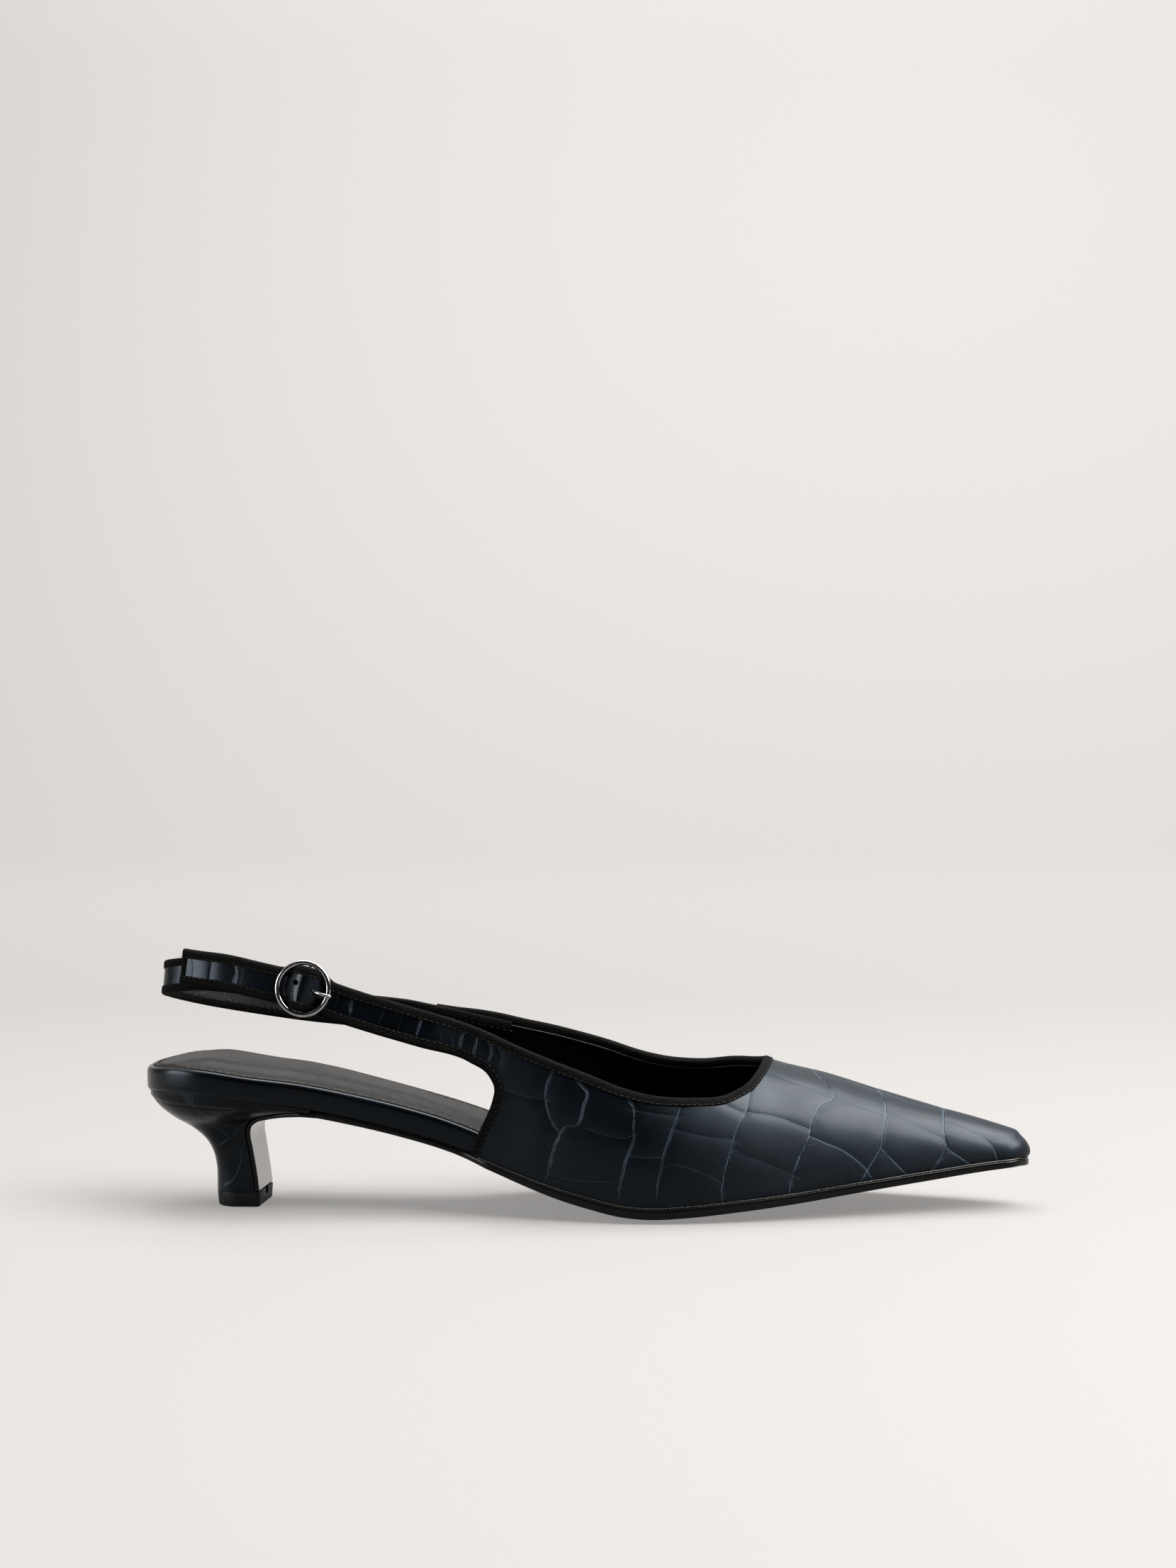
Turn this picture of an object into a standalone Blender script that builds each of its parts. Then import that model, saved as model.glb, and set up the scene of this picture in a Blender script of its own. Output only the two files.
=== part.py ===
"""A slingback kitten heel pump for the right foot, standing empty on its heel and forefoot.

The toe points along +X, +Y is the inner (medial) side and +Z is up. The origin is the centre of
the heel's top piece, on the floor. Tables give shares of the named sizes, in metres.
"""

import math

import bmesh
import bpy
import numpy as np

MM = 0.001

# Overall sizes
LENGTH = 269.0 * MM  # back of the footbed to the tip of the toe
HEEL_SETBACK = 29.0 * MM  # back of the footbed to the centre of the top piece
BALL_WIDTH = 73.0 * MM  # the table of the footbed's outline is in shares of this
SEAT_HEIGHT = 35.3 * MM  # floor to the underside of the footbed at its back
TOE_SPRING = 12.0 * MM  # floor to the underside of the toe tip
INSTEP = 38.0 * MM  # the vamp's height over its feather edge, at the throat
CLEARANCE = 0.3 * MM  # between pieces that touch

# Footbed and sock
BOARD_THICKNESS = 7.3 * MM
FORE_BOARD_THICKNESS = 2.4 * MM
BOARD_INSET = 0.25 * MM
BOARD_TOE_MARGIN = 9.0 * MM  # the board ends this far short of the toe
SOCK_GAP = 0.35 * MM
SOCK_RECESS = 0.8 * MM  # of the board's top under the sock
SEAT_ROUND = 25.0 * MM
TOE_ROUND = 6.5 * MM
SOCK_MARGIN = 2.3 * MM
SOCK_THICKNESS = 0.9 * MM
SOCK_PADDING = 2.2 * MM

# Outsole
SOLE_THICKNESS = 3.0 * MM
SHANK_THICKNESS = 1.7 * MM
FLAP_THICKNESS = 1.2 * MM
SOLE_CAMBER = 1.7 * MM
SHANK_MARGIN = 0.9 * MM
SOLE_BEVEL = 0.6 * MM
SOLE_SETBACK = 0.8 * MM  # of its tip behind the upper's

# Upper
WALL = 1.6 * MM
SIDE_BULGE = 1.3 * MM
FULLNESS = 2.15  # exponent of the last's sections
TOE_TUCK = 1.2 * MM  # of the toe's feather edge behind the tip
NOSE_BULGE = 1.2 * MM  # forwards over that edge
BINDING_WIDTH = 2.5 * MM
BINDING_RISE = 0.35 * MM

# Straps and buckle
STRAP_WIDTH = 10.2 * MM
STRAP_THICKNESS = 1.7 * MM
STRAP_HEIGHT = 70.0 * MM  # floor to the middle of the buckle
STRAP_SPAN = 52.0 * MM  # across the strap's loop, inside the buckle
STRAP_LEAN = 6.0  # degrees, the strap's top edge inwards
RING_RADIUS = 8.5 * MM
RING_BAND = 1.5 * MM
RING_THICKNESS = 1.5 * MM
BAR_RADIUS = 0.5 * MM
PRONG_RADIUS = 0.4 * MM
LOOP_THICKNESS = 0.6 * MM
HOLE_RADIUS = 0.9 * MM
HOLE_PITCH = 9.3 * MM

# Heel and top piece
TIP_THICKNESS = 4.6 * MM
TIP_BACK = 7.6 * MM  # from the top piece's centre to its back
TIP_FRONT = 7.3 * MM  # and to its breast
TIP_HALF_WIDTH = 9.7 * MM

# share of LENGTH, outer and inner half width as shares of BALL_WIDTH
OUTLINE = (
    (0.00, 0.335, 0.335),
    (0.07, 0.345, 0.345),
    (0.13, 0.345, 0.343),
    (0.19, 0.325, 0.320),
    (0.27, 0.290, 0.272),
    (0.34, 0.285, 0.253),
    (0.40, 0.310, 0.272),
    (0.47, 0.375, 0.340),
    (0.53, 0.422, 0.410),
    (0.58, 0.443, 0.452),
    (0.63, 0.432, 0.470),
    (0.69, 0.388, 0.448),
    (0.76, 0.315, 0.382),
    (0.83, 0.236, 0.302),
    (0.90, 0.153, 0.216),
    (0.95, 0.095, 0.156),
    (1.00, 0.040, 0.098),
)

# share of LENGTH, underside of the sole as a share of SEAT_HEIGHT and of TOE_SPRING,
# sole thickness from shank (0) to forefoot (1), board thickness from forefoot (0) to seat (1)
BOTTOM = (
    (0.000, 0.943, 0.00, 0.00, 1.00),
    (0.050, 0.972, 0.00, 0.00, 1.00),
    (0.078, 0.958, 0.00, 0.00, 1.00),
    (0.137, 0.892, 0.00, 0.00, 1.00),
    (0.190, 0.838, 0.00, 0.00, 1.00),
    (0.251, 0.740, 0.00, 0.00, 1.00),
    (0.304, 0.640, 0.00, 0.00, 1.00),
    (0.357, 0.520, 0.00, 0.05, 1.00),
    (0.400, 0.390, 0.00, 0.25, 0.97),
    (0.440, 0.262, 0.00, 0.55, 0.80),
    (0.483, 0.139, 0.00, 0.85, 0.50),
    (0.520, 0.060, 0.00, 1.00, 0.25),
    (0.550, 0.010, 0.00, 1.00, 0.10),
    (0.584, -0.012, 0.00, 1.00, 0.00),
    (0.623, 0.000, 0.00, 1.00, 0.00),
    (0.673, 0.000, 0.10, 0.95, 0.00),
    (0.740, 0.000, 0.27, 0.82, 0.00),
    (0.818, 0.000, 0.52, 0.65, 0.00),
    (0.892, 0.000, 0.74, 0.50, 0.00),
    (0.944, 0.000, 0.89, 0.40, 0.00),
    (1.000, 0.000, 1.00, 0.30, 0.00),
)

# share of LENGTH, height of the last over its feather edge as a share of INSTEP, the outer and the
# inner side's bulge as shares of SIDE_BULGE
LAST = (
    (0.20, 2.60, 0.6, 2.6),
    (0.30, 2.50, 0.8, 2.8),
    (0.37, 2.38, 1.0, 2.6),
    (0.44, 2.12, 1.0, 2.0),
    (0.52, 1.74, 1.0, 1.3),
    (0.583, 1.44, 1.0, 1.0),
    (0.665, 1.13, 1.0, 1.0),
    (0.714, 0.955, 1.0, 1.0),
    (0.768, 0.820, 0.9, 0.9),
    (0.818, 0.667, 0.7, 0.7),
    (0.892, 0.450, 0.4, 0.4),
    (0.944, 0.308, 0.2, 0.2),
    (1.00, 0.155, 0.0, 0.0),
)

# The topline from the middle of the throat backwards: share of LENGTH, then how far round the
# last its edge lies, in degrees from the feather edge, on the outer side
TOPLINE_OUTER = (
    (0.7140, 90.0),
    (0.7130, 80.0),
    (0.7085, 67.0),
    (0.6960, 53.0),
    (0.6700, 43.0),
    (0.6360, 39.0),
    (0.5980, 36.0),
    (0.5200, 31.0),
    (0.4440, 26.3),
    (0.3930, 24.3),
)
TOPLINE_INNER = (
    (0.7140, 90.0),
    (0.7130, 81.0),
    (0.7090, 72.5),
    (0.6970, 64.5),
    (0.6730, 56.5),
    (0.6360, 47.5),
    (0.5830, 41.0),
    (0.4970, 33.0),
    (0.4150, 25.6),
    (0.3600, 22.3),
    (0.3230, 21.0),
)

# The quarter's back edge from the feather edge up to the strap, then along the strap's lower
# edge: share of LENGTH, height over the feather edge there as a share of INSTEP
BACK_EDGE_OUTER = (
    (0.3850, 0.000),
    (0.3940, 0.190),
    (0.4035, 0.350),
    (0.4110, 0.500),
    (0.4130, 0.610),
    (0.4040, 0.700),
    (0.3830, 0.735),
)
BACK_EDGE_INNER = (
    (0.3850, 0.000),
    (0.3940, 0.180),
    (0.4030, 0.320),
    (0.4090, 0.450),
    (0.4100, 0.550),
    (0.4010, 0.625),
    (0.3800, 0.650),
    (0.3500, 0.650),
    (0.3230, 0.640),
)

# The outer strap's middle line from the quarter to its tip: share of LENGTH, share of
# STRAP_HEIGHT, distance out as a share of STRAP_SPAN
STRAP_OUTER = (
    (0.3350, 0.800, -0.472),
    (0.2900, 0.852, -0.487),
    (0.2500, 0.901, -0.497),
    (0.2020, 0.965, -0.500),
    (0.1500, 1.011, -0.478),
    (0.1100, 1.042, -0.436),
    (0.0800, 1.053, -0.388),
    (0.0570, 1.061, -0.332),
)
# The sling's middle line from its lap inside the inner quarter round the heel to where it comes
# under the outer strap, in the same columns
SLING = (
    (0.2850, 0.787, 0.392),
    (0.2300, 0.807, 0.428),
    (0.1650, 0.832, 0.446),
    (0.1000, 0.872, 0.415),
    (0.0560, 0.912, 0.318),
    (0.0320, 0.948, 0.190),
    (0.0240, 0.980, 0.015),
    (0.0340, 1.006, -0.160),
)
# The lap's middle line inside the quarter: share of LENGTH, share of STRAP_HEIGHT, and its thickness
# as a share of STRAP_THICKNESS
LAP = (
    (0.4050, 0.690, 0.35),
    (0.3750, 0.717, 0.60),
    (0.3450, 0.744, 0.90),
    (0.3150, 0.769, 1.00),
)
BUCKLE_SHARE = 0.2020  # where the buckle sits along STRAP_OUTER

# The breast of the heel, from the shank down to the top piece: forward of the origin as a share of
# LENGTH, height as a share of SEAT_HEIGHT, half width as a share of the shank's
BREAST = (
    (0.0855, 0.832, 0.95),
    (0.0632, 0.816, 0.84),
    (0.0409, 0.779, 0.66),
    (0.0271, 0.745, 0.55),
    (0.0197, 0.697, 0.48),
    (0.0178, 0.629, 0.445),
    (0.0201, 0.501, 0.425),
    (0.0238, 0.314, 0.415),
    (0.0264, 0.143, 0.415),
)
# The back of the heel from the top piece to the seat: behind the origin as a share of LENGTH,
# height as a share of SEAT_HEIGHT, widest half width as a share of the seat's
HEEL_BACK = (
    (0.0282, 0.141, 0.395),
    (0.0280, 0.250, 0.392),
    (0.0283, 0.331, 0.392),
    (0.0316, 0.456, 0.405),
    (0.0394, 0.567, 0.455),
    (0.0561, 0.677, 0.560),
    (0.0751, 0.765, 0.700),
    (0.0937, 0.884, 0.870),
    (0.1025, 0.975, 0.965),
)


def smooth(rows, at):
    """The row of a table at a value of its first column, by cubic pieces."""
    table = np.array(rows, float)
    keys = table[:, 0]
    at = min(max(at, keys.min()), keys.max())
    k = int(min(max(np.searchsorted(keys, at) - 1, 0), len(keys) - 2))
    step = keys[k + 1] - keys[k]
    s = (at - keys[k]) / step

    def slope(i):
        if i in (0, len(keys) - 1):
            j = min(i, len(keys) - 2)
            return (table[j + 1] - table[j]) / (keys[j + 1] - keys[j])
        before = (table[i] - table[i - 1]) / (keys[i] - keys[i - 1])
        after = (table[i + 1] - table[i]) / (keys[i + 1] - keys[i])
        weight = (keys[i] - keys[i - 1]) / (keys[i + 1] - keys[i - 1])
        return before * (1 - weight) + after * weight

    h = np.array([2 * s**3 - 3 * s**2 + 1, s**3 - 2 * s**2 + s, -2 * s**3 + 3 * s**2, s**3 - s**2])
    return h[0] * table[k] + h[1] * step * slope(k) + h[2] * table[k + 1] + h[3] * step * slope(k + 1)


def along(points, count):
    """Points spaced evenly along a smooth curve through the given ones."""
    points = np.array(points, float)
    padded = np.vstack([2 * points[0] - points[1], points, 2 * points[-1] - points[-2]])
    fine = []
    for k in range(1, len(padded) - 2):
        p0, p1, p2, p3 = padded[k - 1 : k + 3]
        t1 = math.sqrt(np.linalg.norm(p1 - p0)) + 1e-9
        t2 = t1 + math.sqrt(np.linalg.norm(p2 - p1)) + 1e-9
        t3 = t2 + math.sqrt(np.linalg.norm(p3 - p2)) + 1e-9
        for t in np.linspace(t1, t2, 24, endpoint=k == len(padded) - 3):
            a1 = (t1 - t) / t1 * p0 + t / t1 * p1
            a2 = (t2 - t) / (t2 - t1) * p1 + (t - t1) / (t2 - t1) * p2
            a3 = (t3 - t) / (t3 - t2) * p2 + (t - t2) / (t3 - t2) * p3
            b1 = (t2 - t) / t2 * a1 + t / t2 * a2
            b2 = (t3 - t) / (t3 - t1) * a2 + (t - t1) / (t3 - t1) * a3
            fine.append((t2 - t) / (t2 - t1) * b1 + (t - t1) / (t2 - t1) * b2)
    fine = np.array(fine)
    length = np.concatenate([[0], np.cumsum(np.linalg.norm(np.diff(fine, axis=0), axis=1))])
    wanted = np.linspace(0, length[-1], count)
    return np.stack([np.interp(wanted, length, fine[:, i]) for i in range(fine.shape[1])], axis=1)


def unit(vectors):
    return vectors / np.maximum(np.linalg.norm(vectors, axis=-1, keepdims=True), 1e-12)


def share_at(x):
    return (x + HEEL_SETBACK) / LENGTH


def x_at(share):
    return share * LENGTH - HEEL_SETBACK


def rounded(distance, radius):
    """Rounds a width off to nothing within the radius of an end."""
    if distance >= radius:
        return 1.0
    return math.sqrt(max(0.0, 1 - ((radius - distance) / radius) ** 2))


def middle(x):
    """The middle of the footbed's outline, and its half width there before its ends round off."""
    _, outer, inner = smooth(OUTLINE, share_at(x))
    return BALL_WIDTH * (inner - outer) / 2, BALL_WIDTH * (inner + outer) / 2


def edge_y(x, side, grow=0.0, back=0.0, front=0.0):
    """The footbed's outline, grown outwards. side is -1 outer or 1 inner. back and front move its
    round ends outwards."""
    centre, wide = middle(x)
    from_back = x + HEEL_SETBACK + back
    from_front = LENGTH - HEEL_SETBACK + front - x
    ends = rounded(from_back, SEAT_ROUND + back) * rounded(from_front, TOE_ROUND)
    return centre + side * (wide + grow) * ends


def sole_bottom(x, y=None):
    """Height of the outsole's underside, flat where it meets the floor."""
    _, seat, toe, fore, _ = smooth(BOTTOM, share_at(x))
    centre, wide = middle(x)
    out = 0.0 if y is None else min(1.0, abs(y - centre) / wide)
    camber = SOLE_CAMBER * (0.35 + 0.65 * fore) * out**2.6
    return max(0.0, seat * SEAT_HEIGHT + toe * TOE_SPRING + camber)


def sole_top(x, y=None):
    fore = smooth(BOTTOM, share_at(x))[3]
    return sole_bottom(x, y) + SHANK_THICKNESS + fore * (SOLE_THICKNESS - SHANK_THICKNESS)


def board_bottom(x, y=None):
    return sole_top(x, y) + CLEARANCE


def board_top(x, y=None):
    thick = smooth(BOTTOM, share_at(x))[4]
    thick = FORE_BOARD_THICKNESS + thick * (BOARD_THICKNESS - FORE_BOARD_THICKNESS)
    return board_bottom(x, y) + thick


UPPER_GROW = CLEARANCE + WALL - BOARD_INSET  # footbed's outline to the outside of the upper


def last_point(x, turn, side):
    """A point on the outside of the upper: turn is 0 at the feather edge and 90 at the ridge."""
    _, high, outer_bulge, inner_bulge = smooth(LAST, share_at(x))
    edge = edge_y(x, side, UPPER_GROW, 0.0, -TOE_TUCK)
    ridge_y = middle(x)[0]
    from_tip = LENGTH - HEEL_SETBACK - TOE_TUCK - x
    nose = rounded(from_tip, TOE_ROUND)
    angle = math.radians(turn)
    out = (edge - ridge_y) * max(math.cos(angle), 0.0) ** (2 / FULLNESS)
    bulge = SIDE_BULGE * (outer_bulge if side < 0 else inner_bulge)
    out += side * bulge * math.sin(2 * angle) * math.cos(angle) * nose
    up = INSTEP * high * nose * math.sin(angle) ** (2 / FULLNESS)
    level = min(1.0, up / (INSTEP * LAST[-1][1]))
    ahead = NOSE_BULGE * level * (1 - level) ** 2 * 27 / 4 * max(0.0, 1 - from_tip / (2 * TOE_ROUND))
    return np.array([x + ahead, ridge_y + out, board_bottom(x, edge) + up])


def wall_directions(x, z, side):
    """Along the last and up it, and the point itself, where its outside is at height z."""
    turn = turn_at(x, z - board_bottom(x, edge_y(x, side, UPPER_GROW)))
    here = last_point(x, turn, side)
    one = last_point(x + MM, turn_at(x + MM, z - board_bottom(x, edge_y(x, side, UPPER_GROW))), side)
    return unit(one - here), unit(last_point(x, turn + 1, side) - here), here


def turn_at(x, height):
    """How far round the last a height over its feather edge lies, in degrees."""
    high = INSTEP * smooth(LAST, share_at(x))[1]
    return math.degrees(math.asin(min(max(height / high, 0.0), 1.0) ** (FULLNESS / 2)))


def strap_frame(path, outwards):
    """Directions along, across (up) and out of a strap at each point of its path."""
    ahead = unit(np.gradient(path, axis=0))
    up = np.array([0.0, 0.0, 1.0])
    out = unit(np.cross(ahead, up) * outwards)
    lean = math.radians(STRAP_LEAN)
    across = unit(up * math.cos(lean) - out * math.sin(lean))
    across = unit(across - ahead * np.sum(across * ahead, axis=1, keepdims=True))
    return ahead, across, unit(np.cross(ahead, across) * outwards)


def table_points(rows):
    return [(x_at(s), far * STRAP_SPAN, high * STRAP_HEIGHT) for s, high, far in rows]


RING_INNER = RING_RADIUS - RING_BAND
PRONG_HOLE = 0.557  # its distance from the bar, as a share of the ring's inner radius
BAR_OUT = 0.55 * MM  # the bar's middle, out of the strap's flat outer face
LOOP_RADIUS = BAR_RADIUS + CLEARANCE + LOOP_THICKNESS
BUCKLE_RISE = 0.8 * MM  # of the buckle's middle over the strap's
DOME = BAR_OUT + BAR_RADIUS + 2 * (PRONG_RADIUS + CLEARANCE) + WALL  # the strap's hump over the bar


def buckle_frame():
    """The buckle's place on the outer strap's flat face: origin, towards the toe, up across the
    strap, and outwards."""
    path = along(table_points(STRAP_OUTER), 300)
    at = int(np.argmin(np.abs(path[:, 0] - x_at(BUCKLE_SHARE))))
    ahead, across, out = strap_frame(path, -1)
    return path[at] + across[at] * BUCKLE_RISE, -ahead[at], across[at], out[at]


def strap_stations():
    """Points of the outer strap's flat path, close together under the buckle, with each one's
    distance from the buckle's middle, towards the toe."""
    path = along(table_points(STRAP_OUTER), 900)
    run = np.concatenate([[0], np.cumsum(np.linalg.norm(np.diff(path, axis=0), axis=1))])
    at = int(np.argmin(np.abs(path[:, 0] - x_at(BUCKLE_SHARE))))
    away = run[at] - run
    near = RING_RADIUS + 0.5 * MM
    wanted = [*np.linspace(away[0], near, 6)[:-1], *np.linspace(near, -near, 17)]
    wanted += [*np.linspace(-near, away[-1], 8)[1:]]
    picks = [int(np.argmin(np.abs(away - w))) for w in wanted]
    _, across, _ = strap_frame(path, -1)
    return path[picks], across[picks], away[picks]


def hump(away, aside):
    """Share of DOME that the strap stands out at a place, away along it and aside across it."""
    aside -= BUCKLE_RISE
    reach = math.sqrt(max(RING_INNER**2 - aside**2, (3 * MM) ** 2)) + 0.3 * MM
    return 0.5 + 0.5 * math.cos(math.pi * away / reach) if abs(away) < reach else 0.0


def spread(length, count):
    """Shares across a row, with close pairs of columns where the binding's step stands."""
    edge, foot = BINDING_WIDTH / length, (BINDING_WIDTH + 0.25 * MM) / length
    bound = [0.0, edge / 2, edge, *np.linspace(foot, 1 - foot, count), 1 - edge, 1 - edge / 2, 1.0]
    return np.array(bound)


TOE_ROWS, SECTION_ROWS, VAMP_ROWS, BACK_ROWS, MIDDLE_COLUMNS = 9, 8, 9, 9, 5
FAN_START = 0.765  # share of LENGTH where the toe's own rows end and the fan round the throat starts


def toe_rows(side):
    """Rows over the toe on one side, from its tip back to where the fan starts, each from the
    ridge down to the feather edge."""
    tip, end = LENGTH - HEEL_SETBACK - TOE_TUCK, x_at(FAN_START)
    rows = []
    for k in range(TOE_ROWS + 1):
        x = tip - (tip - end) * (k / TOE_ROWS) ** 2.2
        rows.append([last_point(x, turn, side) for turn in np.linspace(90, 0, SECTION_ROWS + 1)])
    return np.array(rows)


def quarter_rows(side):
    """Rows that fan out from the throat and the topline on one side: to the section where the
    toe's rows end, then to the feather edge, then to the quarter's back edge."""
    topline = TOPLINE_OUTER if side < 0 else TOPLINE_INNER
    back_edge = BACK_EDGE_OUTER if side < 0 else BACK_EDGE_INNER
    back_rows = BACK_ROWS if side < 0 else BACK_ROWS + 3
    fan = SECTION_ROWS + 1 + VAMP_ROWS
    top = along([(x_at(s), turn * MM) for s, turn in topline], fan + back_rows)
    edge = [(x_at(s), turn_at(x_at(s), high * INSTEP) * MM) for s, high in back_edge]
    edge = along(edge, back_rows)
    start, end = x_at(FAN_START), edge[0][0] + BINDING_WIDTH * 1.04
    lows = [(start, turn * MM) for turn in np.linspace(90, 0, SECTION_ROWS + 1)]
    lows += [(start + (end - start) * k / VAMP_ROWS, 0.0) for k in range(1, VAMP_ROWS + 1)]
    lows += [tuple(p) for p in edge]
    rows = []
    for (low_x, low_turn), (x, turn) in zip(lows, top):
        fine = []
        for c in np.linspace(0, 1, 33):
            at, bend = low_x + (x - low_x) * c, low_turn + (turn - low_turn) * c
            fine.append(last_point(at, bend / MM, side))
        fine = np.array(fine)
        run = np.concatenate([[0], np.cumsum(np.linalg.norm(np.diff(fine, axis=0), axis=1))])
        wanted = np.array(spread(run[-1], MIDDLE_COLUMNS)) * run[-1]
        rows.append(np.stack([np.interp(wanted, run, fine[:, i]) for i in range(3)], axis=1))
    return np.array(rows)


def joined_rows(rows, path, across, count):
    """Rows that carry the quarter on into the strap, then the strap's own rows."""
    shares = spread(STRAP_WIDTH, MIDDLE_COLUMNS)
    strap = path[:, None] + across[:, None] * (np.array(shares) - 0.5)[None, :, None] * STRAP_WIDTH
    first, second = rows[-1], strap[0]
    gap = np.linalg.norm(second - first, axis=1)[:, None]
    leave, arrive = unit(rows[-1] - rows[-2]) * gap, unit(strap[1] - strap[0]) * gap
    between = []
    for s in np.linspace(0, 1, count + 2)[1:-1]:
        h = (2 * s**3 - 3 * s**2 + 1, s**3 - 2 * s**2 + s, -2 * s**3 + 3 * s**2, s**3 - s**2)
        between.append(h[0] * first + h[1] * leave + h[2] * second + h[3] * arrive)
    return between, strap


def material(name, colour, roughness, metallic=0.0):
    made = bpy.data.materials.new(name)
    made.use_nodes = True
    shader = made.node_tree.nodes["Principled BSDF"]
    shader.inputs["Base Color"].default_value = (*colour, 1.0)
    shader.inputs["Roughness"].default_value = roughness
    shader.inputs["Metallic"].default_value = metallic
    return made


def solid(name, points, faces, finish):
    """A closed mesh object, merged where its ends draw together, with its faces pointing out."""
    mesh = bpy.data.meshes.new(name)
    mesh.from_pydata([tuple(p) for p in points], [], faces)
    made = bpy.data.objects.new(name, mesh)
    bpy.context.scene.collection.objects.link(made)
    work = bmesh.new()
    work.from_mesh(mesh)
    bmesh.ops.remove_doubles(work, verts=work.verts, dist=0.002 * MM)
    bmesh.ops.dissolve_degenerate(work, edges=work.edges, dist=0.001 * MM)
    bmesh.ops.recalc_face_normals(work, faces=work.faces)
    work.to_mesh(mesh)
    work.free()
    mesh.materials.append(finish)
    mesh.shade_smooth()
    mesh.set_sharp_from_angle(angle=math.radians(40))
    return made


def loft(loops):
    """Points and faces of closed loops joined in order, with both ends capped across."""
    points, faces = [], []
    size = len(loops[0])
    for loop in loops:
        points.extend(loop)
    for k in range(len(loops) - 1):
        for i in range(size):
            j = (i + 1) % size
            faces.append((k * size + i, k * size + j, (k + 1) * size + j, (k + 1) * size + i))
    for base in (0, (len(loops) - 1) * size):
        for i in range(size // 2 - 1):
            faces.append((base + i, base + i + 1, base + size - 2 - i, base + size - 1 - i))
    return points, faces


def ring_stack(rings, low, high, columns):
    """Points and faces of a slab: rings of matching points from bottom to top, closed below and
    above by surfaces low(x, y) and high(x, y). A ring runs out one side and back the other."""
    points, faces = [], []
    size = len(rings[0])
    for ring in rings:
        points.extend(ring)
    for k in range(len(rings) - 1):
        for i in range(size):
            j = (i + 1) % size
            faces.append((k * size + i, k * size + j, (k + 1) * size + j, (k + 1) * size + i))
    for base, surface in ((0, low), ((len(rings) - 1) * size, high)):
        previous = None
        for i in range(size // 2 + 1):
            a, b = base + i, base + (size - i) % size
            if a == b:
                line = [a] * (columns + 1)
            else:
                line = [a]
                for c in range(1, columns):
                    at = points[a] + (points[b] - points[a]) * c / columns
                    points.append(np.array([at[0], at[1], surface(at[0], at[1])]))
                    line.append(len(points) - 1)
                line.append(b)
            if previous:
                for c in range(columns):
                    face = []
                    for v in (previous[c], previous[c + 1], line[c + 1], line[c]):
                        if v not in face:
                            face.append(v)
                    if len(face) > 2:
                        faces.append(tuple(face))
            previous = line
    return points, faces


def outline_ring(count, inset, height, back, front):
    """A ring round the footbed's outline between two ends, moved in by inset, at height(x, y)."""
    line = []
    for side in (-1, 1):
        turns = np.linspace(0, math.pi, count + 1)
        stations = [back + (front - back) * (1 - math.cos(t)) / 2 for t in turns]
        for x in (stations if side < 0 else stations[::-1])[:-1]:
            y = edge_y(x, side, 0.0, -HEEL_SETBACK - back, front - LENGTH + HEEL_SETBACK)
            line.append((x, y))
    line = np.array(line)
    tangent = unit(np.roll(line, -1, axis=0) - np.roll(line, 1, axis=0))
    moved = line + np.stack([-tangent[:, 1], tangent[:, 0]], axis=1) * inset
    return [np.array([x, y, height(x, y)]) for x, y in moved]


def sock_seat(x, y=None):
    return board_top(x, y) - SOCK_RECESS


def make_footbed(finish):
    back, front = -HEEL_SETBACK, LENGTH - HEEL_SETBACK - BOARD_TOE_MARGIN
    levels = ((1.3, 0.0), (0.35, 0.10), (0.0, 0.25), (0.0, 0.80), (0.25, 0.93), (1.1, 1.0))
    rings = []
    for inset, share in levels:

        def height(x, y, share=share):
            low = board_bottom(x, y)
            return low + (board_top(x, y) - low) * share

        rings.append(outline_ring(27, inset * MM + BOARD_INSET, height, back, front))
    for inset, height in ((SOCK_MARGIN - 0.4 * MM, board_top), (SOCK_MARGIN - 0.3 * MM, sock_seat)):
        rings.append(outline_ring(27, inset, height, back, front))
    return solid("footbed", *ring_stack(rings, board_bottom, sock_seat, 5), finish)


def sock_top(x, y):
    """The sock's upper face, padded from the heel seat to the ball."""
    centre, wide = middle(x)
    across = max(0.0, 1 - (abs(y - centre) / max(wide - SOCK_MARGIN, 1 * MM)) ** 2.2)
    from_back = min(1.0, max(0.0, (x + HEEL_SETBACK - SOCK_MARGIN) / (24 * MM)))
    fade = 1.0 - 0.75 * min(1.0, max(0.0, (share_at(x) - 0.30) / 0.25))
    rise = SOCK_PADDING * fade * across * math.sin(from_back * math.pi / 2)
    return sock_seat(x, y) + SOCK_GAP + SOCK_THICKNESS + rise


def make_sock(finish):
    back, front = -HEEL_SETBACK, LENGTH - HEEL_SETBACK - BOARD_TOE_MARGIN

    def under(x, y):
        return sock_seat(x, y) + SOCK_GAP

    def part_way(share):
        return lambda x, y: under(x, y) + SOCK_THICKNESS * share

    def ring(inset, height):
        return outline_ring(27, SOCK_MARGIN + inset * MM, height, back, front)

    rings = [ring(0.3, under), ring(0.0, part_way(0.6)), ring(0.4, part_way(1.0))]
    rings += [ring(2.2, sock_top), ring(5.0, sock_top)]
    return solid("insole_sock", *ring_stack(rings, under, sock_top, 5), finish)


def breast_points(count):
    points = [(x * LENGTH, z * SEAT_HEIGHT, w * BALL_WIDTH * 0.325) for x, z, w in BREAST]
    return along(points, count)


def path_normals(path):
    ahead = unit(np.gradient(path[:, :2], axis=0))
    return np.stack([ahead[:, 1], -ahead[:, 0]], axis=1)


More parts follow.
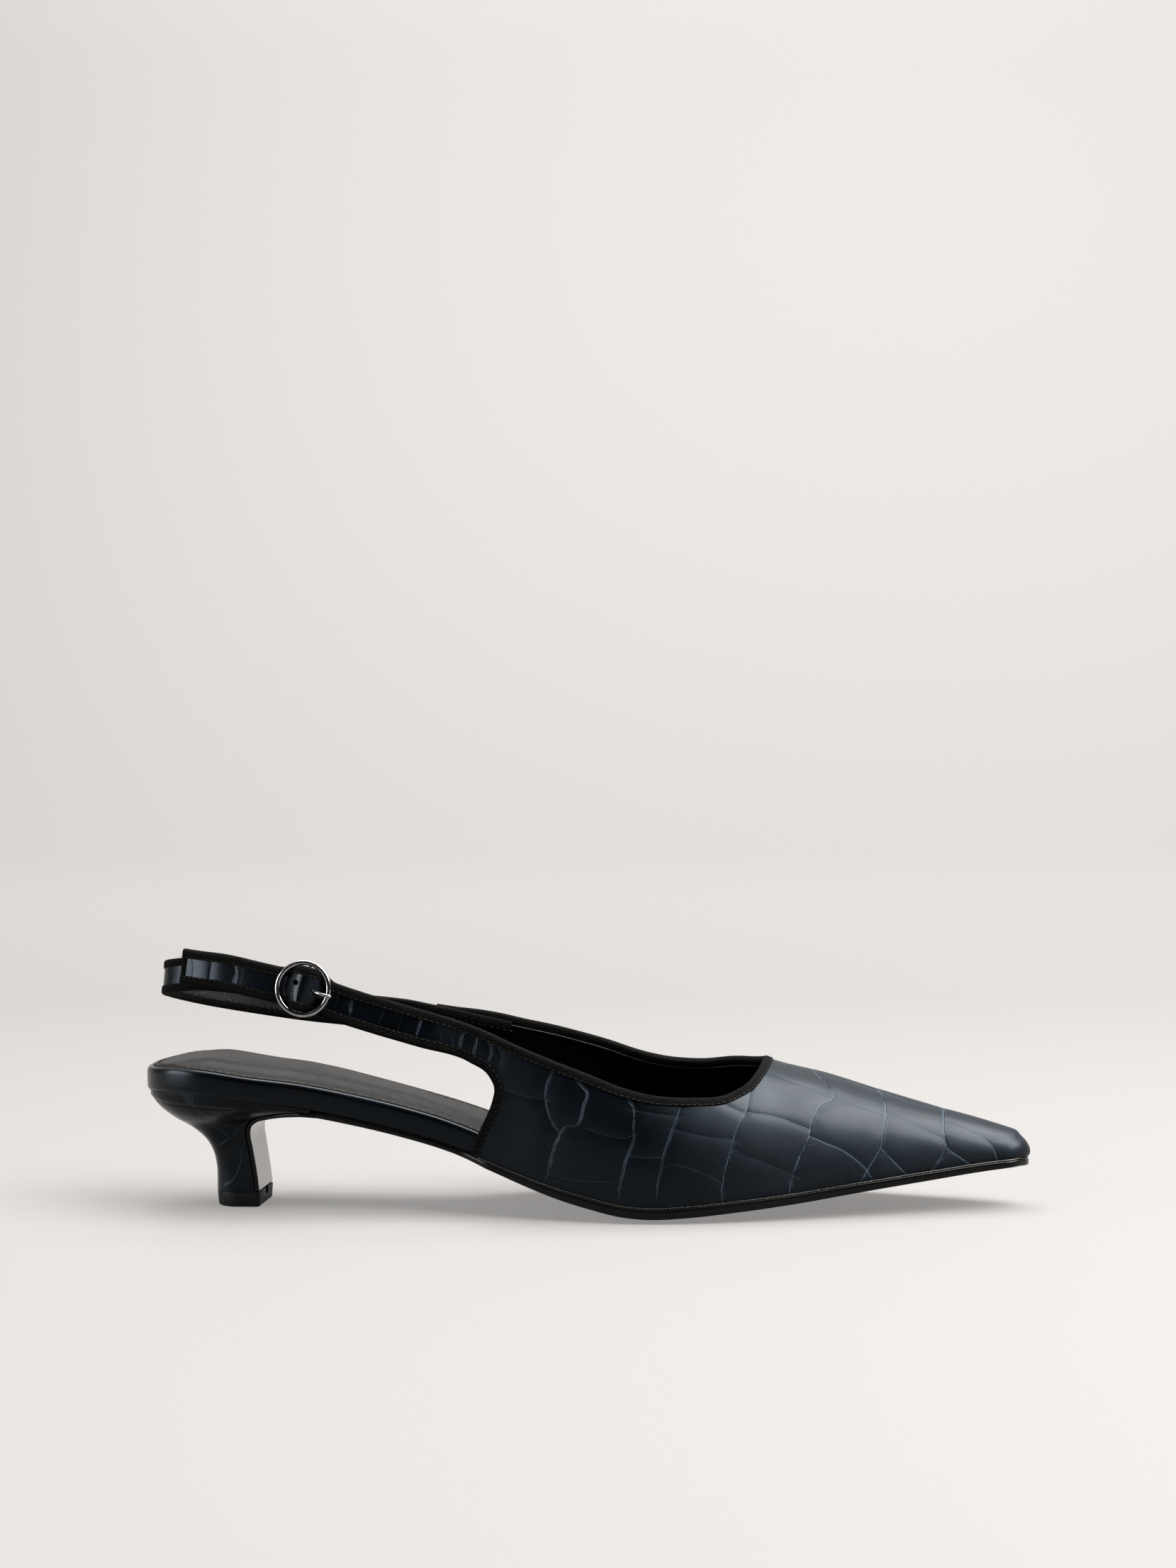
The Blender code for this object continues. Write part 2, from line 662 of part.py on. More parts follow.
def outsole_path(slab_count, breast_count):
    """The outsole's underside from the toe to the shank and down the breast of the heel: rows of
    x, z, outer and inner edge, thickness, and 1 where the camber holds."""
    front, start = LENGTH - HEEL_SETBACK - SOLE_SETBACK, x_at(0.205)
    rows = []
    for k in range(slab_count):
        s = k / slab_count
        x = front - (front - start) * (0.35 * s + 0.65 * s**1.7)
        forward = min(1.0, max(0.0, (share_at(x) - 0.372) / 0.03))
        edges = []
        for side in (-1, 1):
            shank = edge_y(x, side, -SHANK_MARGIN)
            fore = edge_y(x, side, UPPER_GROW + 0.4 * MM, 0.0, -SOLE_SETBACK)
            edges.append(shank + (fore - shank) * forward)
        rows.append((x, sole_bottom(x), *edges, sole_top(x) - sole_bottom(x), 1.0))
    for x, z, wide in breast_points(breast_count):
        rows.append((x, z, -wide, wide, FLAP_THICKNESS, 0.0))
    return np.array(rows)


def make_outsole(finish):
    rows = outsole_path(33, 13)
    normals = path_normals(rows)
    shares = (-1.0, -0.72, -0.38, 0.0, 0.38, 0.72, 1.0)
    loops = []
    for row, (normal_x, normal_z) in zip(rows, normals):
        x, z, outer, inner, thick, cambered = row
        if cambered:
            normal_x, normal_z = 0.0, 1.0
        centre, half = (outer + inner) / 2, (inner - outer) / 2
        bevel = min(SOLE_BEVEL, half * 0.4)

        def at(y, lift, x=x, z=z, side=(normal_x, normal_z), cambered=cambered):
            low = sole_bottom(x, y) if cambered else z
            return np.array([x + side[0] * lift, y, low + side[1] * lift])

        loop = [at(centre + c * (half - bevel), 0.0) for c in shares]
        loop += [at(inner, bevel)]
        loop += [at(centre + c * half, thick) for c in shares[::-1]]
        loop += [at(outer, bevel)]
        loops.append(loop)
    points, faces = loft(loops)
    return solid("outsole", points, faces, finish)


def d_ring(front, back, front_wide, wide, count):
    """A D-shaped ring from a straight front edge round the back, in the plane through both.
    It starts at the middle of the front, goes round the outer side and back along the inner."""
    front, back = np.array(front), np.array(back)
    ring = []
    for side in (-1, 1):
        half = [(0.0, 0.0), (0.0, front_wide * 0.5), (0.0, front_wide * 0.86)]
        half.append((0.02, front_wide * 0.965))
        for k in range(1, count):
            s = k / count
            if s < 0.42:
                t = s / 0.42
                half.append((s, front_wide + (wide - front_wide) * t * (2 - t)))
            else:
                turn = (s - 0.42) / 0.58 * math.pi / 2
                run = 0.42 + 0.58 * math.sin(turn) ** (2 / 2.3)
                half.append((run, wide * math.cos(turn) ** (2 / 2.3)))
        half.append((1.0, 0.0))
        points = [(*(front + (back - front) * s), side * y) for s, y in half]
        ring += points[:-1] if side < 0 else points[:0:-1]
    return [np.array([x, y, z]) for x, z, y in ring]


def heel_rows(count):
    """For each row of the heel, from the top piece up: front and back points, half widths."""
    path = breast_points(count * 3)
    normals = path_normals(path)
    inside = np.column_stack([path[:, :2] + normals * (FLAP_THICKNESS + CLEARANCE), path[:, 2]])
    inside = along(inside[inside[:, 0] < 0.080 * LENGTH], count)[::-1]
    half = BALL_WIDTH * 0.335
    back = along([(-x * LENGTH, z * SEAT_HEIGHT, w * half) for x, z, w in HEEL_BACK], count)
    return inside, back


def make_heel(finish):
    floor = TIP_THICKNESS + CLEARANCE
    count = 16
    fronts, backs = heel_rows(count)
    rings = []
    for k in range(count):
        front, back = fronts[k], backs[k]
        low = [(front[0], max(front[1], floor)), (back[0], max(back[1], floor))]
        wide = max(back[2], front[2])
        ring = d_ring(low[0], low[1], front[2], wide, 12)
        lid = 0.25 * MM * (count - k)
        fitted = []
        for p in ring:
            top = board_bottom(p[0], p[1]) - CLEARANCE - lid
            fitted.append(np.array([p[0], p[1], min(p[2], top)]))
        if k == 0:
            fitted = [np.array([p[0], p[1], floor]) for p in ring]
        rings.append(fitted)
    top = [np.array([p[0], p[1], board_bottom(p[0], p[1]) - CLEARANCE]) for p in rings[-1]]
    rings.append(top)
    return solid(
        "heel",
        *ring_stack(rings, lambda x, y: floor, lambda x, y: board_bottom(x, y) - CLEARANCE, 4),
        finish,
    )


def make_top_piece(finish):
    rings = []
    for z, taper in ((0.0, 0.55), (0.35, 0.2), (TIP_THICKNESS / MM - 0.3, 0.0), (TIP_THICKNESS / MM, 0.15)):
        taper, z = taper * MM, z * MM
        front, back = (TIP_FRONT - taper, z), (-TIP_BACK + taper, z)
        rings.append(d_ring(front, back, TIP_HALF_WIDTH - taper, TIP_HALF_WIDTH - taper, 12))
    return solid(
        "top_piece", *ring_stack(rings, lambda x, y: 0.0, lambda x, y: TIP_THICKNESS, 4), finish
    )


def border_distance(points, border):
    """Distance of each point from a line of border points."""
    best = np.full(len(points), 1e9)
    for a, b in zip(border[:-1], border[1:]):
        run = b - a
        t = np.clip((points - a) @ run / max(run @ run, 1e-16), 0, 1)
        best = np.minimum(best, np.linalg.norm(points - a - t[:, None] * run, axis=1))
    return best


def upper_surface():
    """Points and faces of the upper's outside, without hump or bindings, with each point's hump
    and the distance from the bound edges, and which points lie on the feather edge."""
    grids = []
    outer = quarter_rows(-1)
    path, across, away = strap_stations()
    between, strap = joined_rows(outer, path, across, 3)
    whole = np.concatenate([outer, between, strap])
    humps = np.zeros(whole.shape[:2])
    shares = spread(STRAP_WIDTH, MIDDLE_COLUMNS)
    for k, d in enumerate(away):
        for i, c in enumerate(shares):
            humps[len(outer) + len(between) + k, i] = hump(d, (c - 0.5) * STRAP_WIDTH)
    inner = quarter_rows(1)
    first_back = SECTION_ROWS + 1 + VAMP_ROWS
    for grid, lift, side in ((whole, humps, -1), (inner, np.zeros(inner.shape[:2]), 1)):
        border = np.concatenate([grid[:, -1], grid[-1, ::-1], grid[first_back:, 0][::-1]])
        distance = border_distance(grid.reshape(-1, 3), border).reshape(grid.shape[:2])
        low = np.zeros(grid.shape[:2], bool)
        low[SECTION_ROWS:first_back, 0] = True
        grids.append((grid, lift, distance, low, side < 0))
        toe = toe_rows(side)
        low = np.zeros(toe.shape[:2], bool)
        low[:, -1] = True
        far = np.full(toe.shape[:2], 1.0)
        grids.append((toe, far * 0, far, low, side > 0))
    points, faces, rise, feather, index = [], [], [], [], {}
    for grid, lift, distance, low, flip in grids:
        numbers = np.zeros(grid.shape[:2], int)
        for r in range(grid.shape[0]):
            for c in range(grid.shape[1]):
                key = tuple(np.round(grid[r, c] / (0.002 * MM)).astype(int))
                if key not in index:
                    index[key] = len(points)
                    points.append(grid[r, c])
                    rise.append((lift[r, c], distance[r, c]))
                    feather.append(low[r, c])
                numbers[r, c] = index[key]
        for r in range(grid.shape[0] - 1):
            for c in range(grid.shape[1] - 1):
                a, b = numbers[r, c], numbers[r + 1, c]
                d, e = numbers[r + 1, c + 1], numbers[r, c + 1]
                face = tuple(dict.fromkeys((a, e, d, b) if flip else (a, b, d, e)))
                if len(face) > 2:
                    faces.append(face)
    return np.array(points), faces, np.array(rise), np.array(feather)


def surface_normals(points, faces):
    normals = np.zeros(points.shape)
    for face in faces:
        corners = points[list(face)]
        normal = np.zeros(3)
        for a, b in zip(corners, np.roll(corners, -1, axis=0)):
            normal += np.cross(a - corners[0], b - corners[0])
        for v in face:
            normals[v] += normal
    return unit(normals)


def shell(outer, inner, faces):
    """A closed mesh from matching outer and inner points, joined round every open edge."""
    count = len(outer)
    used = {}
    for face in faces:
        for a, b in zip(face, face[1:] + face[:1]):
            used[(a, b)] = True
    made = list(faces) + [tuple(v + count for v in face[::-1]) for face in faces]
    for a, b in used:
        if (b, a) not in used:
            made.append((b, a, a + count, b + count))
    return np.concatenate([outer, inner]), made


def make_upper(finish):
    points, faces, rise, feather = upper_surface()
    normals = surface_normals(points, faces)
    level = normals.copy()
    level[feather, 2] = 0.0
    level = unit(level)
    bound = BINDING_RISE * (rise[:, 1] <= BINDING_WIDTH * 1.02)
    outer = points + normals * (DOME * rise[:, 0] + bound)[:, None]
    outer[feather] = points[feather] + level[feather] * bound[feather, None]
    inner = points + normals * (DOME * rise[:, 0])[:, None] - level * WALL
    made = solid("upper", *shell(outer, inner, faces), finish)
    origin, ahead, across, out = buckle_frame()
    first = PRONG_HOLE * RING_INNER
    for number, away in enumerate((first, first + HOLE_PITCH, first - HOLE_PITCH)):
        stretch = 2.2 if number == 0 else 1.0
        ring = []
        for turn in np.linspace(0, 2 * math.pi, 16, endpoint=False):
            s = away + HOLE_RADIUS * stretch * math.cos(turn)
            aside = (0.0 if number == 0 else -BUCKLE_RISE) + HOLE_RADIUS * math.sin(turn)
            ring.append(origin + ahead * s + across * aside)
        ring = np.array(ring)
        cutter = solid(f"hole_{number}", *loft([ring - out * DOME, ring + out * 1.5 * DOME]), finish)
        cutter.hide_render = True
        cutter.display_type = "WIRE"
        hole = made.modifiers.new(f"hole_{number}", "BOOLEAN")
        hole.operation = "DIFFERENCE"
        hole.solver = "EXACT"
        hole.object = cutter
    return made


def ribbon(name, centres, normals, across, widths, thicknesses, finish):
    """A flat strap along a path, its outer face raised at both edges."""
    loops = []
    for p, n, t, wide, thick in zip(centres, normals, across, widths, thicknesses):
        bound = BINDING_RISE * min(1.0, thick / STRAP_THICKNESS) ** 2
        edge = BINDING_WIDTH / wide
        shares = (-0.5, -0.5 + edge, -0.5 + edge + 0.03, 0.5 - edge - 0.03, 0.5 - edge, 0.5)
        rises = (bound, bound, 0.0, 0.0, bound, bound)
        loop = [p + t * wide * c + n * (thick / 2 + r) for c, r in zip(shares, rises)]
        loop += [p + t * wide * c - n * thick / 2 for c in (0.5, 0.0, -0.5)]
        loops.append(loop)
    size = len(loops[0])
    points = [p for loop in loops for p in loop]
    faces = []
    for k in range(len(loops) - 1):
        for i in range(size):
            j = (i + 1) % size
            faces.append((k * size + i, k * size + j, (k + 1) * size + j, (k + 1) * size + i))
    faces += [tuple(range(size)), tuple(range((len(loops) - 1) * size, len(loops) * size))]
    return solid(name, points, faces, finish)


def sling_path():
    """The sling's middle surface: centres, outward normals, directions across, widths and
    thicknesses, ending in the loop round the buckle's bar."""
    lap = []
    for share, high, skived in LAP:
        inwards = WALL + CLEARANCE + BINDING_RISE + STRAP_THICKNESS * skived / 2
        x, z = x_at(share), high * STRAP_HEIGHT
        one, two, here = wall_directions(x, z, 1)
        lap.append(here - unit(np.cross(two, one)) * inwards)
    outer = along(table_points(STRAP_OUTER), 300)
    _, _, out = strap_frame(outer, -1)
    deep = WALL + CLEARANCE + BINDING_RISE + STRAP_THICKNESS / 2
    under = outer - out * deep
    up = np.array([0.0, 0.0, 1.0])
    hidden = []
    for share, drop in ((0.0710, 1.6), (0.1005, 1.1), (0.1300, 0.5), (0.1580, 0.1)):
        at = int(np.argmin(np.abs(outer[:, 0] - x_at(share))))
        hidden.append(under[at] - up * drop * MM)
    centres = along([*lap, *table_points(SLING), *hidden], 43)
    ahead, across, out = strap_frame(centres, 1)
    for k, (p, run) in enumerate(zip(centres, ahead)):
        share = min(1.0, max(0.0, (p[0] - x_at(0.275)) / (0.05 * LENGTH)))
        if share > 0:
            one, two, _ = wall_directions(p[0], p[2], 1)
            two = unit(two - run * (two @ run))
            across[k] = unit(across[k] * (1 - share) + two * share)
            out[k] = unit(np.cross(run, across[k]))
    origin, toe, up, away = buckle_frame()
    start = float((centres[-1] - origin) @ toe)
    depth = float((centres[-1] - origin) @ away)
    bend = LOOP_RADIUS - LOOP_THICKNESS / 2
    path = [(start, depth), (start * 0.72, depth), (-0.657 * RING_INNER, -0.293 * RING_INNER)]
    path += [(-0.429 * RING_INNER, -0.207 * RING_INNER), (-0.214 * RING_INNER, BAR_OUT - bend - 0.15 * MM)]
    path = list(along(path, 9))[1:-1]
    for turn in np.radians(np.linspace(-100, 150, 13)):
        path.append((bend * math.cos(turn), BAR_OUT + bend * math.sin(turn)))
    path = np.array(path)
    run = unit(np.gradient(path, axis=0))
    loop = origin + path[:, :1] * toe + path[:, 1:] * away
    facing = -run[:, 1:] * toe + run[:, :1] * away
    centres = np.concatenate([centres, loop])
    out = np.concatenate([out, facing])
    across = np.concatenate([across, np.repeat(up[None], len(path), axis=0)])
    thin = np.clip((path[:, 0] - start * 0.8) / (-start * 0.55), 0, 1)
    thin[8:] = 1.0
    skives = np.interp(share_at(centres[:, 0]), [row[0] for row in LAP[::-1]], [row[2] for row in LAP[::-1]])
    thick = STRAP_THICKNESS * skives
    thick[-len(path) :] += (LOOP_THICKNESS - STRAP_THICKNESS) * thin
    wide = np.full(len(centres), STRAP_WIDTH - 0.2 * MM)
    wide[-len(path) :] -= 1.0 * MM * thin
    return centres, out, across, wide, thick


def make_sling(finish):
    centres, out, across, wide, thick = sling_path()
    made = ribbon("sling_strap", centres, out, across, wide, thick, finish)
    origin, toe, up, away = buckle_frame()
    half = PRONG_RADIUS + CLEARANCE
    base = origin - toe * 0.371 * RING_INNER - away * 0.43 * RING_INNER
    ring = [base - up * half, base + up * half, base + up * half + toe * RING_INNER]
    ring = np.array([*ring, base - up * half + toe * RING_INNER])
    cutter = solid("prong_slot", *loft([ring, ring + away * 8 * MM]), finish)
    cutter.hide_render = True
    cutter.display_type = "WIRE"
    slot = made.modifiers.new("prong_slot", "BOOLEAN")
    slot.operation = "DIFFERENCE"
    slot.solver = "EXACT"
    slot.object = cutter
    return made


def make_buckle(finish):
    origin, toe, up, away = buckle_frame()
    loops = []
    low = CLEARANCE + BINDING_RISE
    section = ((0.0, 0.25), (0.25, 0.0), (0.75, 0.0), (1.0, 0.25), (1.0, 0.75), (0.75, 1.0))
    section += ((0.25, 1.0), (0.0, 0.75))
    for turn in np.linspace(0, 2 * math.pi, 34, endpoint=False):
        radial = toe * math.cos(turn) + up * math.sin(turn)
        loop = [
            origin + radial * (RING_INNER + RING_BAND * r) + away * (low + RING_THICKNESS * h)
            for r, h in section
        ]
        loops.append(loop)
    size = len(section)
    points = [p for loop in loops for p in loop]
    faces = []
    for k in range(len(loops)):
        m = (k + 1) % len(loops)
        for i in range(size):
            j = (i + 1) % size
            faces.append((k * size + i, k * size + j, m * size + j, m * size + i))
    ring = solid("buckle", points, faces, finish)
    reach = RING_INNER + RING_BAND * 0.5
    round_bar = []
    for end in (-reach, reach):
        round_bar.append(
            [
                origin + up * end + away * (BAR_OUT + BAR_RADIUS * math.sin(t))
                + toe * BAR_RADIUS * math.cos(t)
                for t in np.linspace(0.13, 0.13 + 2 * math.pi, 12, endpoint=False)
            ]
        )
    bar = solid("buckle_bar", *loft(round_bar), finish)
    bar.hide_render = True
    bar.display_type = "WIRE"
    join = ring.modifiers.new("bar", "BOOLEAN")
    join.operation = "UNION"
    join.solver = "EXACT"
    join.object = bar
    return ring


def make_prong(finish):
    origin, toe, up, away = buckle_frame()
    bend = BAR_RADIUS + CLEARANCE + PRONG_RADIUS
    path = []
    for turn in np.radians(np.linspace(290, -5, 12)):
        path.append((bend * math.cos(turn), BAR_OUT + bend * math.sin(turn)))
    top = CLEARANCE + BINDING_RISE + RING_THICKNESS + CLEARANCE + PRONG_RADIUS
    pin = [(0.329, 0.107), (PRONG_HOLE, 0.229), (0.8, top / RING_INNER - 0.05)]
    pin += [(1.057, top / RING_INNER), (1.286, top / RING_INNER + 0.007)]
    pin = [path[-1], *((s * RING_INNER, n * RING_INNER) for s, n in pin)]
    path += list(along(pin, 10))[1:]
    path = np.array(path)
    run = unit(np.gradient(path, axis=0))
    loops = []
    for k, ((s, n), (a, b)) in enumerate(zip(path, run)):
        centre = origin + toe * s + away * n
        side = -toe * b + away * a
        radius = PRONG_RADIUS * (0.6 if k == len(path) - 1 else 1.0)
        loops.append(
            [
                centre + side * radius * math.cos(t) + up * radius * math.sin(t)
                for t in np.linspace(0, 2 * math.pi, 8, endpoint=False)
            ]
        )
    return solid("prong", *loft(loops), finish)


def main():
    for existing in list(bpy.data.objects):
        bpy.data.objects.remove(existing)
    navy = material("navy_patent_leather", (0.012, 0.022, 0.040), 0.22)
    black = material("black_leather", (0.02, 0.02, 0.02), 0.45)
    rubber = material("black_sole", (0.015, 0.015, 0.015), 0.35)
    metal = material("gunmetal", (0.35, 0.35, 0.37), 0.3, 1.0)
    make_upper(navy)
    make_footbed(navy)
    make_sock(black)
    make_heel(navy)
    make_outsole(rubber)
    make_top_piece(rubber)
    make_sling(navy)
    make_buckle(metal)
    make_prong(metal)


main()
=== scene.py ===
"""The looks of the slingback kitten heel pump: every piece is built here at full detail on the
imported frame, with node materials, studio light and the photograph's camera.

The toe points along +X, +Y is the inner side, +Z is up. Sizes and tables are those of the part.
"""

import math

import bpy
import numpy as np
from mathutils import Matrix
from mathutils.bvhtree import BVHTree
from mathutils.kdtree import KDTree


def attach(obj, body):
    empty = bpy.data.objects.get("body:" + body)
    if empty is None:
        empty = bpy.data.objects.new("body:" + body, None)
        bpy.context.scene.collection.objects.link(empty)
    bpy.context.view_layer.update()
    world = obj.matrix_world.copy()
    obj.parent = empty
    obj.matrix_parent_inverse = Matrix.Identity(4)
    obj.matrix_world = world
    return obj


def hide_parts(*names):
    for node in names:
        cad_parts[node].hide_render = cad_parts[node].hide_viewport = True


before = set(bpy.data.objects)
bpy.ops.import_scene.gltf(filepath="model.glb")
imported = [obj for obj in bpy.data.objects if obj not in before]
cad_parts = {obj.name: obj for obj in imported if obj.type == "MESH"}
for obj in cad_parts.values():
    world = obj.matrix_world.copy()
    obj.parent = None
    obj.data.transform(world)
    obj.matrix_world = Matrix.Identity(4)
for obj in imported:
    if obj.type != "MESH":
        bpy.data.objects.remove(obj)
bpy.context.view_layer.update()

MM = 0.001

# Overall sizes
LENGTH = 269.0 * MM  # back of the footbed to the tip of the toe
HEEL_SETBACK = 29.0 * MM  # back of the footbed to the centre of the top piece
BALL_WIDTH = 73.0 * MM  # the table of the footbed's outline is in shares of this
SEAT_HEIGHT = 35.3 * MM  # floor to the underside of the footbed at its back
TOE_SPRING = 12.0 * MM  # floor to the underside of the toe tip
INSTEP = 38.0 * MM  # the vamp's height over its feather edge, at the throat
CLEARANCE = 0.3 * MM  # between pieces that touch

# Footbed and sock
BOARD_THICKNESS = 7.3 * MM
FORE_BOARD_THICKNESS = 2.4 * MM
BOARD_INSET = 0.25 * MM
BOARD_TOE_MARGIN = 9.0 * MM  # the board ends this far short of the toe
SOCK_GAP = 0.35 * MM
SOCK_RECESS = 0.8 * MM  # of the board's top under the sock
SEAT_ROUND = 25.0 * MM
TOE_ROUND = 6.5 * MM
SOCK_MARGIN = 2.3 * MM
SOCK_THICKNESS = 0.9 * MM
SOCK_PADDING = 2.2 * MM

# Outsole
SOLE_THICKNESS = 3.0 * MM
SHANK_THICKNESS = 1.7 * MM
FLAP_THICKNESS = 1.2 * MM
SOLE_CAMBER = 1.7 * MM
SHANK_MARGIN = 0.9 * MM
SOLE_BEVEL = 0.6 * MM
SOLE_SETBACK = 0.8 * MM  # of its tip behind the upper's

# Upper
WALL = 1.6 * MM
SIDE_BULGE = 1.3 * MM
FULLNESS = 2.15  # exponent of the last's sections
TOE_TUCK = 1.2 * MM  # of the toe's feather edge behind the tip
NOSE_BULGE = 1.2 * MM  # forwards over that edge
BINDING_WIDTH = 2.5 * MM
BINDING_RISE = 0.35 * MM

# Straps and buckle
STRAP_WIDTH = 10.2 * MM
STRAP_THICKNESS = 1.7 * MM
STRAP_HEIGHT = 70.0 * MM  # floor to the middle of the buckle
STRAP_SPAN = 52.0 * MM  # across the strap's loop, inside the buckle
STRAP_LEAN = 6.0  # degrees, the strap's top edge inwards
RING_RADIUS = 8.5 * MM
RING_BAND = 1.5 * MM
RING_THICKNESS = 1.5 * MM
BAR_RADIUS = 0.5 * MM
PRONG_RADIUS = 0.4 * MM
LOOP_THICKNESS = 0.6 * MM
HOLE_RADIUS = 0.9 * MM

# Heel and top piece
TIP_THICKNESS = 4.6 * MM
TIP_BACK = 7.6 * MM  # from the top piece's centre to its back
TIP_FRONT = 7.3 * MM  # and to its breast
TIP_HALF_WIDTH = 9.7 * MM

# share of LENGTH, outer and inner half width as shares of BALL_WIDTH
OUTLINE = (
    (0.00, 0.335, 0.335),
    (0.07, 0.345, 0.345),
    (0.13, 0.345, 0.343),
    (0.19, 0.325, 0.320),
    (0.27, 0.290, 0.272),
    (0.34, 0.285, 0.253),
    (0.40, 0.310, 0.272),
    (0.47, 0.375, 0.340),
    (0.53, 0.422, 0.410),
    (0.58, 0.443, 0.452),
    (0.63, 0.432, 0.470),
    (0.69, 0.388, 0.448),
    (0.76, 0.315, 0.382),
    (0.83, 0.236, 0.302),
    (0.90, 0.153, 0.216),
    (0.95, 0.095, 0.156),
    (1.00, 0.040, 0.098),
)

# share of LENGTH, underside of the sole as a share of SEAT_HEIGHT and of TOE_SPRING,
# sole thickness from shank (0) to forefoot (1), board thickness from forefoot (0) to seat (1)
BOTTOM = (
    (0.000, 0.943, 0.00, 0.00, 1.00),
    (0.050, 0.972, 0.00, 0.00, 1.00),
    (0.078, 0.958, 0.00, 0.00, 1.00),
    (0.137, 0.892, 0.00, 0.00, 1.00),
    (0.190, 0.838, 0.00, 0.00, 1.00),
    (0.251, 0.740, 0.00, 0.00, 1.00),
    (0.304, 0.640, 0.00, 0.00, 1.00),
    (0.357, 0.520, 0.00, 0.05, 1.00),
    (0.400, 0.390, 0.00, 0.25, 0.97),
    (0.440, 0.262, 0.00, 0.55, 0.80),
    (0.483, 0.139, 0.00, 0.85, 0.50),
    (0.520, 0.060, 0.00, 1.00, 0.25),
    (0.550, 0.010, 0.00, 1.00, 0.10),
    (0.584, -0.012, 0.00, 1.00, 0.00),
    (0.623, 0.000, 0.00, 1.00, 0.00),
    (0.673, 0.000, 0.10, 0.95, 0.00),
    (0.740, 0.000, 0.27, 0.82, 0.00),
    (0.818, 0.000, 0.52, 0.65, 0.00),
    (0.892, 0.000, 0.74, 0.50, 0.00),
    (0.944, 0.000, 0.89, 0.40, 0.00),
    (1.000, 0.000, 1.00, 0.30, 0.00),
)

# share of LENGTH, height of the last over its feather edge as a share of INSTEP, the outer and the
# inner side's bulge as shares of SIDE_BULGE
LAST = (
    (0.20, 2.60, 0.6, 2.6),
    (0.30, 2.50, 0.8, 2.8),
    (0.37, 2.38, 1.0, 2.6),
    (0.44, 2.12, 1.0, 2.0),
    (0.52, 1.74, 1.0, 1.3),
    (0.583, 1.44, 1.0, 1.0),
    (0.665, 1.13, 1.0, 1.0),
    (0.714, 0.955, 1.0, 1.0),
    (0.768, 0.820, 0.9, 0.9),
    (0.818, 0.667, 0.7, 0.7),
    (0.892, 0.450, 0.4, 0.4),
    (0.944, 0.308, 0.2, 0.2),
    (1.00, 0.155, 0.0, 0.0),
)

# The topline from the middle of the throat backwards: share of LENGTH, then how far round the
# last its edge lies, in degrees from the feather edge, on the outer side
TOPLINE_OUTER = (
    (0.7140, 90.0),
    (0.7130, 80.0),
    (0.7085, 67.0),
    (0.6960, 53.0),
    (0.6700, 43.0),
    (0.6360, 39.0),
    (0.5980, 36.0),
    (0.5200, 31.0),
    (0.4440, 26.3),
    (0.3930, 24.3),
)
TOPLINE_INNER = (
    (0.7140, 90.0),
    (0.7130, 81.0),
    (0.7090, 72.5),
    (0.6970, 64.5),
    (0.6730, 56.5),
    (0.6360, 47.5),
    (0.5830, 41.0),
    (0.4970, 33.0),
    (0.4150, 25.6),
    (0.3600, 22.3),
    (0.3230, 21.0),
)

# The quarter's back edge from the feather edge up to the strap, then along the strap's lower
# edge: share of LENGTH, height over the feather edge there as a share of INSTEP
BACK_EDGE_OUTER = (
    (0.3850, 0.000),
    (0.3940, 0.190),
    (0.4035, 0.350),
    (0.4110, 0.500),
    (0.4130, 0.610),
    (0.4040, 0.700),
    (0.3830, 0.735),
)
BACK_EDGE_INNER = (
    (0.3850, 0.000),
    (0.3940, 0.180),
    (0.4030, 0.320),
    (0.4090, 0.450),
    (0.4100, 0.550),
    (0.4010, 0.625),
    (0.3800, 0.650),
    (0.3500, 0.650),
    (0.3230, 0.640),
)

# The outer strap's middle line from the quarter to its tip: share of LENGTH, share of
# STRAP_HEIGHT, distance out as a share of STRAP_SPAN
STRAP_OUTER = (
    (0.3350, 0.800, -0.472),
    (0.2900, 0.852, -0.487),
    (0.2500, 0.901, -0.497),
    (0.2020, 0.965, -0.500),
    (0.1500, 1.011, -0.478),
    (0.1100, 1.042, -0.436),
    (0.0800, 1.053, -0.388),
    (0.0570, 1.061, -0.332),
)
# The sling's middle line from its lap inside the inner quarter round the heel to where it comes
# under the outer strap, in the same columns
SLING = (
    (0.2850, 0.787, 0.392),
    (0.2300, 0.807, 0.428),
    (0.1650, 0.832, 0.446),
    (0.1000, 0.872, 0.415),
    (0.0560, 0.912, 0.318),
    (0.0320, 0.948, 0.190),
    (0.0240, 0.980, 0.015),
    (0.0340, 1.006, -0.160),
)
# The lap's middle line inside the quarter: share of LENGTH, share of STRAP_HEIGHT, and its thickness
# as a share of STRAP_THICKNESS
LAP = (
    (0.4050, 0.690, 0.35),
    (0.3750, 0.717, 0.60),
    (0.3450, 0.744, 0.90),
    (0.3150, 0.769, 1.00),
)
BUCKLE_SHARE = 0.2020  # where the buckle sits along STRAP_OUTER

# The breast of the heel, from the shank down to the top piece: forward of the origin as a share of
# LENGTH, height as a share of SEAT_HEIGHT, half width as a share of the shank's
BREAST = (
    (0.0855, 0.832, 0.95),
    (0.0632, 0.816, 0.84),
    (0.0409, 0.779, 0.66),
    (0.0271, 0.745, 0.55),
    (0.0197, 0.697, 0.48),
    (0.0178, 0.629, 0.445),
    (0.0201, 0.501, 0.425),
    (0.0238, 0.314, 0.415),
    (0.0264, 0.143, 0.415),
)
